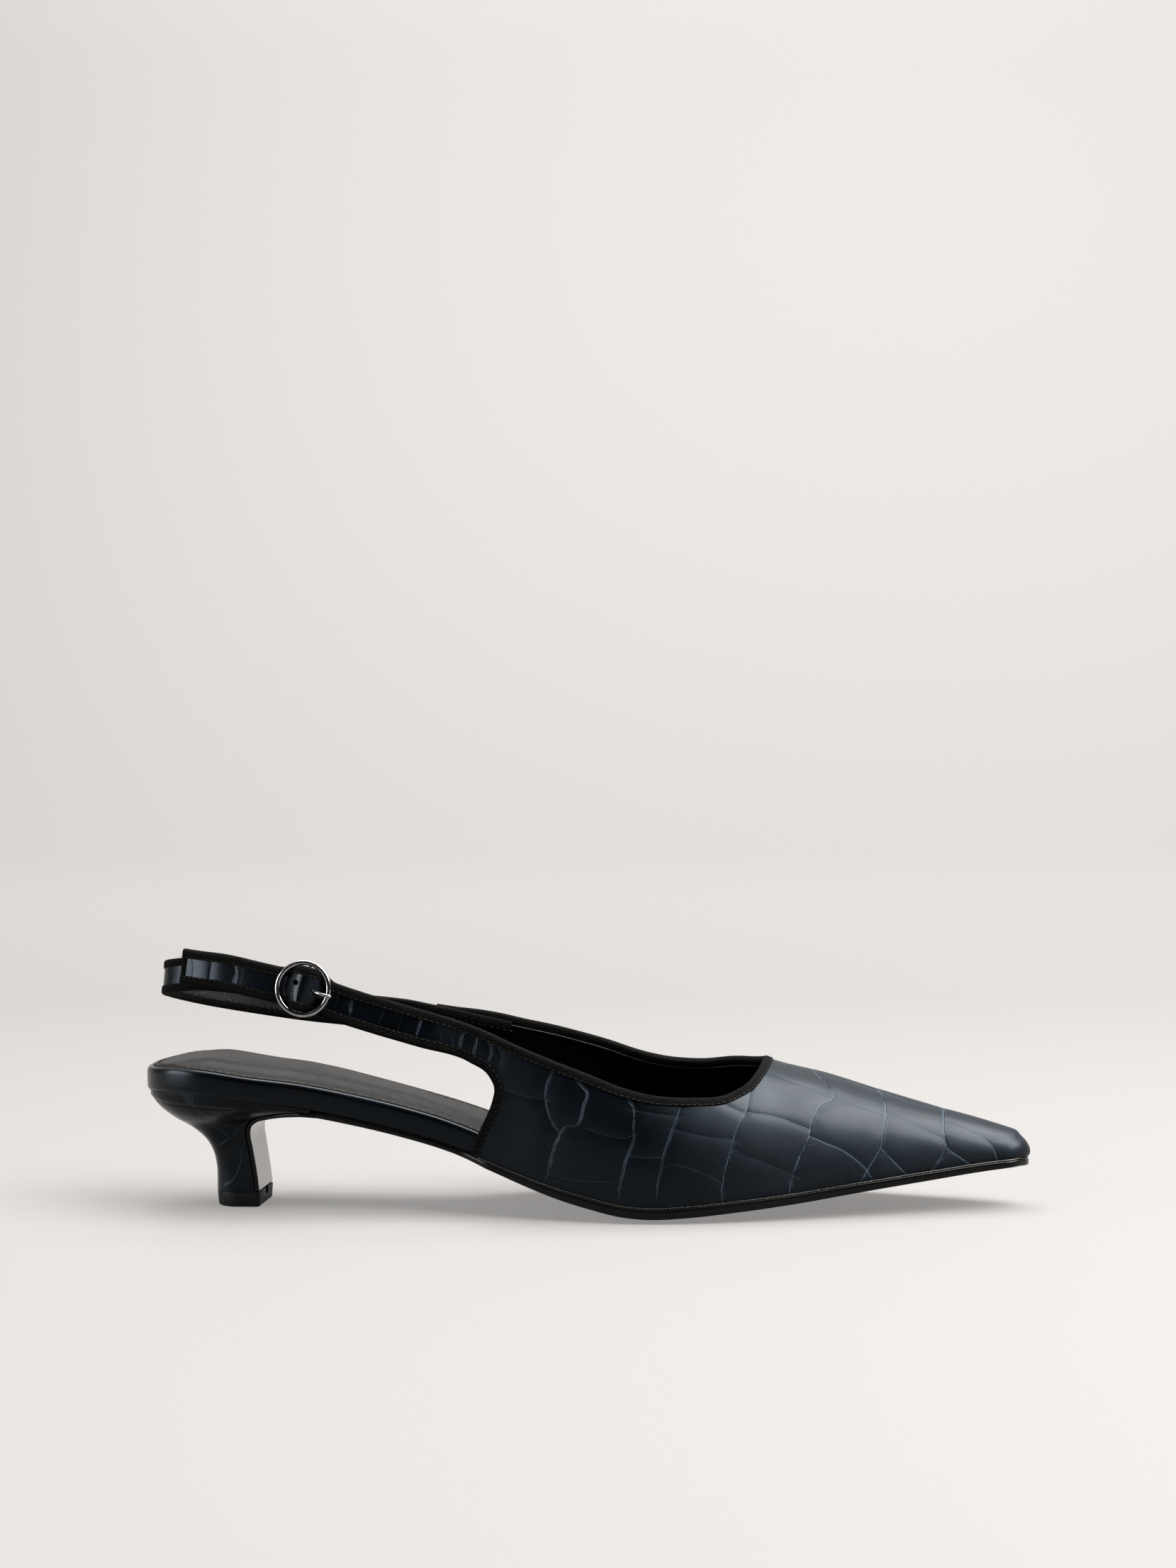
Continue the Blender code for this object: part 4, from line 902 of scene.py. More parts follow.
CREASES = (
    # share of LENGTH and angle from the ridge (outer side negative); 1 for a main fold
    (1, ((0.488, -50), (0.479, -64), (0.472, -69), (0.472, -73), (0.480, -77), (0.486, -78), (0.480, -82),
         (0.474, -87))),
    (1, ((0.495, -60), (0.510, -63), (0.517, -64), (0.514, -68), (0.507, -74), (0.494, -76), (0.486, -78))),
    (1, ((0.553, -52), (0.559, -58), (0.568, -61), (0.569, -65), (0.568, -72), (0.559, -79), (0.553, -86))),
    (1, ((0.630, -44), (0.621, -55), (0.613, -63), (0.606, -70), (0.600, -76), (0.595, -84))),
    (1, ((0.701, -22), (0.693, -43), (0.690, -52), (0.680, -62), (0.674, -71), (0.667, -80), (0.664, -88))),
    (1, ((0.752, 20), (0.757, 4), (0.768, -13), (0.785, -31), (0.770, -42), (0.761, -53), (0.757, -64),
         (0.746, -75), (0.739, -83), (0.737, -89))),
    (1, ((0.823, 24), (0.830, 2), (0.838, -17), (0.841, -38), (0.838, -57), (0.835, -70), (0.825, -80),
         (0.816, -88))),
    (1, ((0.900, 30), (0.903, 2), (0.904, -24), (0.904, -46), (0.906, -68), (0.899, -82), (0.891, -89))),
    (0, ((0.425, -75), (0.447, -74), (0.472, -72))),
    (0, ((0.517, -74), (0.556, -72), (0.568, -70))),
    (0, ((0.569, -62), (0.590, -61), (0.614, -60))),
    (0, ((0.560, -77), (0.575, -76), (0.602, -75))),
    (0, ((0.613, -65), (0.645, -66), (0.677, -66))),
    (0, ((0.603, -78), (0.613, -77), (0.639, -79), (0.658, -82), (0.666, -84))),
    (0, ((0.660, -49), (0.670, -51), (0.690, -53))),
    (0, ((0.690, -52), (0.720, -52), (0.757, -58))),
    (0, ((0.676, -70), (0.686, -72), (0.712, -76), (0.740, -82))),
    (0, ((0.712, -20), (0.745, -26), (0.785, -32))),
    (0, ((0.785, -32), (0.810, -35), (0.840, -39))),
    (0, ((0.758, -62), (0.770, -65), (0.792, -70), (0.816, -81), (0.822, -86))),
    (0, ((0.841, -38), (0.870, -47), (0.900, -58), (0.906, -68), (0.930, -88))),
    (0, ((0.836, -70), (0.848, -79), (0.860, -88))),
    (0, ((0.470, -88), (0.507, -87), (0.544, -85))),
    (0, ((0.770, -10), (0.800, -6), (0.833, -8))),
    (0, ((0.833, -6), (0.870, -12), (0.903, -10))),
    (0, ((0.905, -30), (0.930, -40), (0.952, -60), (0.960, -85))),
    (1, ((0.755, 6), (0.750, 24), (0.760, 40), (0.748, 54), (0.742, 68), (0.730, 86))),
    (1, ((0.829, 6), (0.824, 26), (0.836, 46), (0.830, 64), (0.818, 86))),
    (1, ((0.902, 6), (0.898, 32), (0.908, 56), (0.898, 86))),
    (1, ((0.700, 24), (0.692, 36), (0.684, 50), (0.690, 62), (0.676, 76), (0.668, 88))),
    (1, ((0.640, 38), (0.626, 52), (0.618, 64), (0.626, 76), (0.612, 88))),
    (1, ((0.560, 50), (0.552, 60), (0.562, 72), (0.548, 86))),
    (1, ((0.492, 60), (0.480, 68), (0.488, 78), (0.474, 88))),
    (1, ((0.425, 68), (0.418, 75), (0.426, 82))),
    (0, ((0.756, 28), (0.795, 24), (0.827, 28))),
    (0, ((0.757, 46), (0.795, 50), (0.834, 48))),
    (0, ((0.744, 64), (0.785, 68), (0.829, 64))),
    (0, ((0.830, 34), (0.866, 38), (0.901, 36))),
    (0, ((0.833, 60), (0.866, 58), (0.906, 62))),
    (0, ((0.905, 20), (0.930, 30), (0.955, 60))),
    (0, ((0.688, 42), (0.720, 44), (0.757, 40))),
    (0, ((0.689, 60), (0.716, 58), (0.745, 62))),
    (0, ((0.680, 74), (0.708, 76), (0.738, 74))),
    (0, ((0.620, 60), (0.652, 62), (0.685, 58))),
    (0, ((0.622, 76), (0.650, 74), (0.680, 76))),
    (0, ((0.558, 64), (0.590, 66), (0.620, 62))),
    (0, ((0.556, 78), (0.588, 76), (0.616, 80))),
    (0, ((0.484, 70), (0.520, 72), (0.556, 68))),
    (0, ((0.480, 82), (0.514, 80), (0.550, 84))),
    (0, ((0.420, 74), (0.452, 76), (0.484, 74))),
)
# Short wrinkles of the outer strap and its root: share of LENGTH and share of STRAP_HEIGHT
WRINKLES = (
    (1, ((0.3800, 0.796), (0.3758, 0.757), (0.3741, 0.712))),
    (1, ((0.3933, 0.775), (0.3915, 0.733), (0.3890, 0.685))),
    (1, ((0.4058, 0.757), (0.4095, 0.703), (0.4062, 0.664), (0.4085, 0.631))),
    (0, ((0.4167, 0.727), (0.4213, 0.685), (0.4195, 0.646))),
    (1, ((0.2576, 0.930), (0.2551, 0.906), (0.2542, 0.881))),
    (1, ((0.3316, 0.836), (0.3299, 0.809), (0.3274, 0.782))),
    (0, ((0.3534, 0.776), (0.3549, 0.749), (0.3532, 0.725))),
    (0, ((0.2418, 0.954), (0.2393, 0.924))),
    (0, ((0.2915, 0.890), (0.2881, 0.848))),
    (0, ((0.3112, 0.863), (0.3086, 0.821))),
    (1, ((0.1216, 1.073), (0.1231, 1.040), (0.1213, 0.997))),
    (0, ((0.0949, 1.086), (0.0921, 1.010))),
    (0, ((0.0696, 1.095), (0.0718, 1.052), (0.0700, 1.012))),
    (0, ((0.3648, 0.766), (0.3678, 0.721))),
)
FAR = 9.0  # mm from any crease, past which nothing of it shows
FACE_REACH = 3.2 * MM  # a face further from a crease than this carries none of it
# Every crease has a sharp line and a wide soft dip: its kind, depth and half width in mm
DIPS = ((1, 0.15, 0.5), (1, 0.19, 2.6), (0, 0.07, 0.5), (0, 0.10, 2.0))
# Holes of the outer strap: how far from the buckle's centre to the toe's side and up, and how much
# longer than wide each is; the first is the prong's
HOLES = ((PRONG_HOLE * RING_INNER, 0.0, 1.5), (14.6 * MM, -BUCKLE_RISE, 1.0), (-2.3 * MM, 1.3 * MM, 1.0))
RING_SPREAD = 1.35 * MM  # the strap's edges further out on each side, inside the ring
SIDE_DEPTH = 6 * MM  # what lies this near the buckle's plane is the buckle's side


def crease_spots(tree):
    """Every crease's kind, and points spaced closely along it."""
    lines = []
    for kind, line in CREASES:
        joints = along([(x_at(s), w * MM) for s, w in line], 70 if kind else 48)
        sides = np.where(joints[:, 1] < 0, -1, 1)
        turns = 90 - np.abs(joints[:, 1]) / MM
        points = np.array([last_point(x, w, side) for x, w, side in zip(joints[:, 0], turns, sides)])
        lines.append((kind, points))
    for kind, line in WRINKLES:
        points = []
        for x, z in along([(x_at(s), z * STRAP_HEIGHT) for s, z in line], 20):
            hit = tree.ray_cast((x, -0.08, z), (0.0, 1.0, 0.0))[0]
            if hit:
                points.append(np.array(hit))
        if len(points) > 4:
            lines.append((kind, np.array(points)))
    return lines


def crease_corners(points, normals, faces, tree):
    """Signed distance in mm of every face corner to the main fold, and to the fine line, that its
    face lies nearest to; then every point's plain distance to the nearest of each kind."""
    lines = crease_spots(tree)
    corners, apart = [], []
    quads = np.array([(*f, f[-1])[:4] for f in faces])
    centres = points[quads].mean(axis=1)
    for wanted in (1, 0):
        group = [line for kind, line in lines if kind == wanted]
        spots = np.concatenate(group)
        owner = np.concatenate([np.full(len(g), n) for n, g in enumerate(group)])
        everything = KDTree(len(spots))
        trees = [KDTree(len(g)) for g in group]
        slopes = [unit(np.gradient(g, axis=0)) for g in group]
        for n, spot in enumerate(spots):
            everything.insert(spot, n)
        for one, g in zip(trees, group):
            for n, spot in enumerate(g):
                one.insert(spot, n)
            one.balance()
        everything.balance()
        apart.append(np.array([everything.find(p)[2] for p in points]) / MM)
        signed = []
        for face, centre in zip(faces, centres):
            _, n, far = everything.find(centre)
            if far > FACE_REACH:
                signed += [FAR] * len(face)
                continue
            mine, slope = trees[owner[n]], slopes[owner[n]]
            for v in face:
                spot, k, far = mine.find(points[v])
                off = points[v] - spot
                up, on = normals[v], slope[k]
                side = off[0] * (up[1] * on[2] - up[2] * on[1])
                side += off[1] * (up[2] * on[0] - up[0] * on[2])
                side += off[2] * (up[0] * on[1] - up[1] * on[0])
                signed.append((-far if side < 0 else far) / MM)
        corners.append(np.array(signed))
    return *corners, *apart


def make_upper():
    """The leather with its creases, and the lining inside. Gives what the bindings are laid on."""
    section, vamp, back, columns = 60, 92, 52, 74
    grids = []
    outer, first_back = fan_grid(-1, section, vamp, back, columns)
    path, across, away = strap_stations(0.42 * MM)
    whole, strap_start = carried_on(outer, path, across, 18, columns)
    humps = np.zeros(whole.shape[:2])
    shares = spread(STRAP_WIDTH, columns)
    humps[strap_start:] = hump(away[:, None], (shares[None, :] - 0.5) * STRAP_WIDTH)
    v = (shares[None, :] - 0.5) * 2
    drawn = humps[strap_start:] * 0.5 * (1 - v**2) * MM
    drawn += (1 - swell(np.abs(away[:, None]), 3.4, 8.2)) * (BUCKLE_RISE + RING_SPREAD * v)
    whole[strap_start:] += across[:, None] * drawn[..., None]
    inner, _ = fan_grid(1, section, vamp, back, columns)
    end = inner[-1, :, 0].mean()
    lowered = swell((end + 22 * MM - inner[..., 0]) / 22, 0.0, 1.0)
    inner[..., 2] -= TAB_DROP * lowered * np.linspace(0, 1, inner.shape[1])[None, :]
    grids.append((whole, humps, True))
    grids.append((inner, np.zeros(inner.shape[:2]), False))
    for side in (-1, 1):
        toe = toe_grid(side, 96, section)
        grids.append((toe, np.zeros(toe.shape[:2]), side > 0))
    points = np.concatenate([g.reshape(-1, 3) for g, _, _ in grids])
    lift = np.concatenate([h.reshape(-1) for _, h, _ in grids])
    faces, start = [], 0
    for grid, _, flip in grids:
        rows, cols = grid.shape[:2]
        number = start + np.arange(rows * cols).reshape(rows, cols)
        a, b, d, e = number[:-1, :-1], number[1:, :-1], number[1:, 1:], number[:-1, 1:]
        faces.append(np.stack([a, e, d, b] if flip else [a, b, d, e], axis=-1).reshape(-1, 4))
        start += rows * cols
    faces = np.concatenate(faces)
    _, first, index = np.unique(
        np.round(points / (0.004 * MM)).astype(np.int64), axis=0, return_index=True, return_inverse=True
    )
    faces = index.reshape(-1)[faces]
    base, lift = points[first], lift[first]
    normals = normals_of(base, faces)
    base = base + normals * (DOME * lift)[:, None]
    normals = normals_of(base, faces)
    tree = BVHTree.FromPolygons(base.tolist(), faces.tolist())
    every = [tuple(dict.fromkeys(f)) for f in faces.tolist()]
    every = [f for f in every if len(f) > 2]
    fold_at, line_at, fold, line = crease_corners(base, normals, every, tree)
    plain = (1 - 0.8 * lift) * (1 - 0.75 * np.clip((normals[:, 2] - 0.72) / 0.25, 0, 1))
    dip = sum(depth * np.exp(-(((fold if kind else line) / half) ** 2)) for kind, depth, half in DIPS)
    edge = board_bottom(base[:, 0], base[:, 1])
    tuck = 0.42 * np.clip(1 - (base[:, 2] - edge) / (1.8 * MM), 0, 1) ** 2
    shown = base - normals * ((dip * plain + tuck) * MM)[:, None]
    # points inside a hole's rim are drawn onto it, and faces wholly inside are left out
    hole_faces, hole_points = np.zeros(len(faces), bool), np.zeros(len(base), bool)
    rim_radius = HOLE_RADIUS * 0.9
    buckle_side = np.abs((base - ORIGIN) @ OUTWARDS) < SIDE_DEPTH
    for ahead, aside, stretch in HOLES:
        relative = base - (ORIGIN + TOEWARDS * ahead + UPWARDS * aside)
        u, v = relative @ TOEWARDS / stretch, relative @ UPWARDS
        radius = np.sqrt(u**2 + v**2)
        inside = buckle_side & (radius < rim_radius)
        hole_faces |= inside[faces].all(axis=1)
        hole_points |= inside
        rim = inside & np.isin(np.arange(len(base)), faces[~hole_faces])
        scale = np.where(rim, rim_radius / np.maximum(radius, 1e-6), 1.0)
        for array in (shown, base):
            array += ((scale - 1) * u * stretch)[:, None] * TOEWARDS
            array += ((scale - 1) * v)[:, None] * UPWARDS
    holed = [n for n, f in enumerate(every) if hole_points[list(f)].all()]
    left_out = set(holed)
    starts = np.concatenate([[0], np.cumsum([len(f) for f in every])])
    cleaned = [f for n, f in enumerate(every) if n not in left_out]
    kept = np.ones(starts[-1], bool)
    for n in holed:
        kept[starts[n] : starts[n + 1]] = False
    # creases are drawn at half strength on the buckle's side, and in full elsewhere
    made = solid("upper_leather", shown, cleaned, CROC, crease={"near": buckle_side}, angle=70)
    for key, values in (("fold", fold_at[kept]), ("line", line_at[kept])):
        layer = made.data.attributes.new(key, "FLOAT", "CORNER")
        if len(layer.data) == len(values):
            layer.data.foreach_set("value", values.astype(np.float32))
    placed(made, "upper")
    lining = base - normals * (WALL - 0.05 * MM)
    inside = solid("upper_lining", lining, [f[::-1] for f in cleaned], LINING, angle=70)
    thin = inside.modifiers.new("thin", "DECIMATE")
    thin.ratio = 0.28
    settle(inside)
    placed(inside, "upper", False)
    return whole, humps, inner, first_back, tree


def settle(made):
    """Turns an object's modifiers into its plain mesh."""
    graph = bpy.context.evaluated_depsgraph_get()
    mesh = bpy.data.meshes.new_from_object(made.evaluated_get(graph))
    made.modifiers.clear()
    made.data = mesh
    return made


def grid_normals(grid, flip):
    ahead, across = np.gradient(grid, axis=0), np.gradient(grid, axis=1)
    made = unit(np.cross(ahead, across))
    return -made if flip else made


def bound_edge(name, edge, beside, facing, tree, width=BINDING_WIDTH):
    """A folded strip over an edge of the upper. beside is a line further in on the surface. Returns
    the line for its stitches, and the line of its inner edge."""
    tangent = unit(np.gradient(edge, axis=0))
    inward = unit(np.cross(facing, tangent))
    inward *= np.sign(np.sum(inward * (beside - edge), axis=1, keepdims=True))
    lines = []
    for share in (0.5, 0.86, 1.0):
        found = [tree.find_nearest(p) for p in edge + inward * width * share]
        lines.append((np.array([f[0] for f in found]), np.array([f[1] for f in found])))
    (part, part_up), (seam, seam_up), (deep, deep_up) = lines
    flip = np.sign(np.sum(part_up * facing, axis=1, keepdims=True))
    part_up, deep_up, seam_up = part_up * flip, deep_up * flip, seam_up * flip

    def at(base, normal, along_in, out):
        return base + inward * along_in * MM + normal * out * MM

    under = -WALL / MM
    profile = [
        at(deep, deep_up, 0.0, -0.05), at(deep, deep_up, -0.05, 0.22), at(deep, deep_up, -0.26, 0.36),
        at(seam, seam_up, 0.0, 0.30), at(part, part_up, 0.3, 0.44), at(part, part_up, -0.3, 0.46),
        at(edge, facing, 0.55, 0.44), at(edge, facing, 0.12, 0.33), at(edge, facing, -0.16, 0.05),
        at(edge, facing, -0.32, under * 0.3), at(edge, facing, -0.36, under * 0.5),
        at(edge, facing, -0.32, under * 0.7), at(edge, facing, -0.16, under - 0.04),
        at(edge, facing, 0.12, under - 0.26), at(edge, facing, 0.5, under - 0.36),
        at(part, part_up, 0.0, under - 0.36), at(deep, deep_up, -0.3, under - 0.3),
        at(deep, deep_up, -0.06, under - 0.2), at(deep, deep_up, 0.0, under + 0.1),
    ]
    points, faces = loft(np.array(profile).transpose(1, 0, 2))
    made = solid(name, points, outwards(points, faces), BINDING, angle=50)
    placed(made, "upper", False)
    return seam + seam_up * 0.36 * MM, deep - deep_up * (WALL + 0.15 * MM)


def thin_rows(line, spacing):
    """Numbers of the points of a line that lie at least spacing apart, ends kept."""
    run = run_along(line)
    wanted = np.linspace(0, run[-1], max(3, int(run[-1] / spacing) + 1))
    return np.unique(np.clip(np.searchsorted(run, wanted), 0, len(line) - 1))


def tube(name, line, radius, finish, sides=8):
    """A thin bead along a line."""
    ahead = unit(np.gradient(line, axis=0))
    side = unit(np.cross(ahead, [0.0, 0.0, 1.0]))
    up = np.cross(side, ahead)
    turns = np.linspace(0, 2 * math.pi, sides + 1)[:-1]
    loops = [
        [p + (a * math.cos(t) + b * math.sin(t)) * radius for t in turns] for p, a, b in zip(line, side, up)
    ]
    points, faces = loft(loops)
    return solid(name, points, outwards(points, faces), finish, angle=80)


def make_bindings(whole, humps, inner, first_back, tree):
    """Strips over the topline, the quarters' back edges, the strap and its tip."""
    seams = []
    shown, normals = {}, {}
    for side, grid, hump_rows in ((-1, whole, humps), (1, inner, None)):
        normal = grid_normals(grid, side < 0)
        lifted = grid + (normal * (DOME * hump_rows)[..., None] if hump_rows is not None else 0)
        shown[side], normals[side] = lifted, grid_normals(lifted, side < 0)
    top = [np.concatenate([shown[1][:0:-1, c], shown[-1][:, c]]) for c in (-1, -6)]
    facing = np.concatenate([normals[1][:0:-1, -3], normals[-1][:, -3]])
    pick = thin_rows(top[0], 0.8 * MM)
    seam, inner_edge = bound_edge("topline_binding", top[0][pick], top[1][pick], facing[pick], tree)
    seams.append(seam)
    far = inner_edge[: int(len(inner_edge) * 0.36)]
    # a bead of lining along the far topline, lighter than the black lining: a painted highlight line on a
    # real edge
    bead = tube("topline_lining_edge", far[::2], 0.24 * MM, GLOSSY_LINING_PAINTED_SHEEN)
    placed(bead, "upper", False)
    for side, name in ((-1, "outer_back_binding"), (1, "inner_back_binding")):
        low = [shown[side][first_back - 1 :, c] for c in (0, 6)]
        face = normals[side][first_back - 1 :, 3]
        pick = thin_rows(low[0], 0.8 * MM)
        seam, _ = bound_edge(name, low[0][pick], low[1][pick], face[pick], tree)
        seams.append(seam)
        grid, normal = shown[side], normals[side]
        lines = [grid[-1, 1:-1], grid[-12, 1:-1]]
        pick = thin_rows(lines[0], 0.5 * MM)
        tip = "tip_binding" if side < 0 else "tab_binding"
        bound_edge(tip, lines[0][pick], lines[1][pick], normal[-3, 1:-1][pick], tree, 1.7 * MM)
    return seams


def stitch_tree():
    """Geometry nodes: small rounded stitches at an even pitch along a curve."""
    tree = bpy.data.node_groups.new("stitches", "GeometryNodeTree")
    tree.interface.new_socket("Line", in_out="INPUT", socket_type="NodeSocketGeometry")
    for key, value in (("Pitch", 1.9 * MM), ("Length", 1.15 * MM), ("Radius", 0.15 * MM)):
        made = tree.interface.new_socket(key, in_out="INPUT", socket_type="NodeSocketFloat")
        made.default_value = value
    tree.interface.new_socket("Thread", in_out="INPUT", socket_type="NodeSocketMaterial")
    tree.interface.new_socket("Stitches", in_out="OUTPUT", socket_type="NodeSocketGeometry")
    new, link = tree.nodes.new, tree.links.new
    source, sink = new("NodeGroupInput"), new("NodeGroupOutput")
    curve, points = new("GeometryNodeMeshToCurve"), new("GeometryNodeCurveToPoints")
    points.mode = "LENGTH"
    link(source.outputs["Line"], curve.inputs[0])
    link(curve.outputs[0], points.inputs["Curve"])
    link(source.outputs["Pitch"], points.inputs["Length"])
    ball = new("GeometryNodeMeshUVSphere")
    ball.inputs["Segments"].default_value = 8
    ball.inputs["Rings"].default_value = 6
    link(source.outputs["Radius"], ball.inputs["Radius"])
    ratio = new("ShaderNodeMath")
    ratio.operation = "DIVIDE"
    link(source.outputs["Length"], ratio.inputs[0])
    link(source.outputs["Radius"], ratio.inputs[1])
    half = new("ShaderNodeMath")
    half.operation = "MULTIPLY"
    half.inputs[1].default_value = 0.5
    link(ratio.outputs[0], half.inputs[0])
    scale = new("ShaderNodeCombineXYZ")
    scale.inputs[0].default_value = 1.0
    scale.inputs[1].default_value = 1.0
    link(half.outputs[0], scale.inputs[2])
    place = new("GeometryNodeInstanceOnPoints")
    link(points.outputs["Points"], place.inputs["Points"])
    link(ball.outputs[0], place.inputs["Instance"])
    link(points.outputs["Rotation"], place.inputs["Rotation"])
    link(scale.outputs[0], place.inputs["Scale"])
    real, paint = new("GeometryNodeRealizeInstances"), new("GeometryNodeSetMaterial")
    smooth_shade = new("GeometryNodeSetShadeSmooth")
    link(place.outputs[0], real.inputs[0])
    link(real.outputs[0], smooth_shade.inputs[0])
    link(smooth_shade.outputs[0], paint.inputs[0])
    link(source.outputs["Thread"], paint.inputs["Material"])
    link(paint.outputs[0], sink.inputs[0])
    return tree


STITCHES = stitch_tree()


def stitch(name, node, lines, pitch=1.9, length=1.15, radius=0.15, thread=None):
    """Stitches along lines of points, as one plain mesh."""
    points = np.concatenate(lines)
    mesh = bpy.data.meshes.new(name)
    edges, start = [], 0
    for line in lines:
        edges += [(start + i, start + i + 1) for i in range(len(line) - 1)]
        start += len(line)
    mesh.from_pydata(points.tolist(), edges, [])
    made = bpy.data.objects.new(name, mesh)
    bpy.context.scene.collection.objects.link(made)
    rows = made.modifiers.new("stitches", "NODES")
    rows.node_group = STITCHES
    values = {"Pitch": pitch * MM, "Length": length * MM, "Radius": radius * MM, "Thread": thread or THREAD}
    for item in STITCHES.interface.items_tree:
        if item.in_out == "INPUT" and item.name in values:
            rows[item.identifier] = values[item.name]
    settle(made)
    return placed(made, node, False)


# Footbed, sock, heel and soles


FLAP_START = 0.205  # share of LENGTH where the sole turns down the breast, and the cover's wedge ends
SHANK_SHARE = 0.325  # the shank's half width as a share of BALL_WIDTH
SEAT_SHARE = 0.335  # and the seat's
SEAM_END = 170.0 * MM  # the sock's seam goes no further forward
# The mark cut in the front of the top piece
MARK_SIDES = (-1.2 * MM, 1.8 * MM)
MARK_HEIGHT = 1.9 * MM
MARK_DEPTH = 0.9 * MM


def sock_seat(x, y=None):
    return board_top(x, y) - SOCK_RECESS


def make_footbed():
    back, front = -HEEL_SETBACK, LENGTH - HEEL_SETBACK - BOARD_TOE_MARGIN
    levels = ((1.5, 0.0), (0.75, 0.02), (0.3, 0.08), (0.06, 0.17), (0.0, 0.28), (0.0, 0.5), (0.0, 0.74))
    levels += ((0.05, 0.83), (0.2, 0.91), (0.48, 0.965), (0.9, 0.995), (1.4, 1.005))
    rings = []
    for inset, share in levels:

        def height(x, y, share=share):
            low = board_bottom(x, y)
            return low + (board_top(x, y) - low) * share

        rings.append(outline_ring(120, inset * MM + BOARD_INSET, height, back, front))
    rings.append(outline_ring(120, SOCK_MARGIN - 0.25 * MM, board_top, back, front))
    rings.append(outline_ring(120, SOCK_MARGIN - 0.1 * MM, sock_seat, back, front))
    points, faces = ring_stack(rings, board_bottom, sock_seat, 12)
    made = solid("footbed_cover", points, outwards(points, faces), NAVY)
    return placed(made, "footbed")


def sock_top(x, y):
    """The sock's upper face: flat near its edge, then a soft pad that fades out under the arch."""
    centre, wide = middle(x)
    inside = wide - SOCK_MARGIN - np.abs(y - centre)
    fade = 1.0 - 0.8 * np.clip((share_at(x) - 0.30) / 0.25, 0.0, 1.0)
    pad = swell(inside, 3.2, 12.5) * swell(x + HEEL_SETBACK - SOCK_MARGIN, 3.0, 22.0)
    ripple = 0.12 * np.sin(x / (9.3 * MM)) * np.sin(y / (7.1 * MM) + 1.3)
    ripple = ripple + 0.06 * np.sin(x / (3.7 * MM) + y / (5.1 * MM))
    crown = 0.12 * swell(inside, 2.4, 20.0)
    flat = sock_seat(x, y) + SOCK_GAP + SOCK_THICKNESS
    return flat + (SOCK_PADDING * fade + ripple * MM) * pad + crown * MM


def make_sock():
    """The padded sock, drawn down along its stitched line."""
    back, front = -HEEL_SETBACK, LENGTH - HEEL_SETBACK - BOARD_TOE_MARGIN
    count = 130

    def under(x, y):
        return sock_seat(x, y) + SOCK_GAP

    def lifted(share, drop=0.0):
        return lambda x, y: under(x, y) + (sock_top(x, y) - under(x, y)) * share - drop * MM

    rings = [outline_ring(count, SOCK_MARGIN + 0.25 * MM, under, back, front)]
    for inset, share, drop in (
        (0.02, 0.35, 0.0), (0.0, 0.6, 0.0), (0.10, 0.85, 0.0), (0.3, 0.97, 0.0), (0.6, 1.0, 0.0),
        (0.9, 1.0, 0.05), (1.1, 1.0, 0.20), (1.3, 1.0, 0.40), (1.5, 1.0, 0.46), (1.7, 1.0, 0.40),
        (1.95, 1.0, 0.16), (2.3, 1.0, 0.0), (3.1, 1.0, -0.06), (4.4, 1.0, -0.03), (6.0, 1.0, 0.0),
        (7.6, 1.0, 0.0), (9.2, 1.0, 0.0), (10.8, 1.0, 0.0), (12.4, 1.0, 0.0),
    ):
        rings.append(outline_ring(count, SOCK_MARGIN + inset * MM, lifted(share, drop), back, front))
    points, faces = ring_stack(rings, under, sock_top, 22)
    made = solid("insole_sock_leather", points, outwards(points, faces), SOCK)
    placed(made, "insole_sock")
    line = outline_ring(300, SOCK_MARGIN + 1.5 * MM, lifted(1.0, 0.12), back, front)
    line = [p for p in line if p[0] < SEAM_END]
    cut = max(range(len(line)), key=lambda k: np.linalg.norm(line[k] - line[k - 1]))
    line = np.array(line[cut:] + line[:cut])
    stitch("sock_stitches", "insole_sock", [line], pitch=2.5, length=1.9, radius=0.26)


def breast_points(count):
    points = [(x * LENGTH, z * SEAT_HEIGHT, w * BALL_WIDTH * SHANK_SHARE) for x, z, w in BREAST]
    return along(points, count)


def path_normals(path):
    ahead = unit(np.gradient(path[:, :2], axis=0))
    return np.stack([ahead[:, 1], -ahead[:, 0]], axis=1)


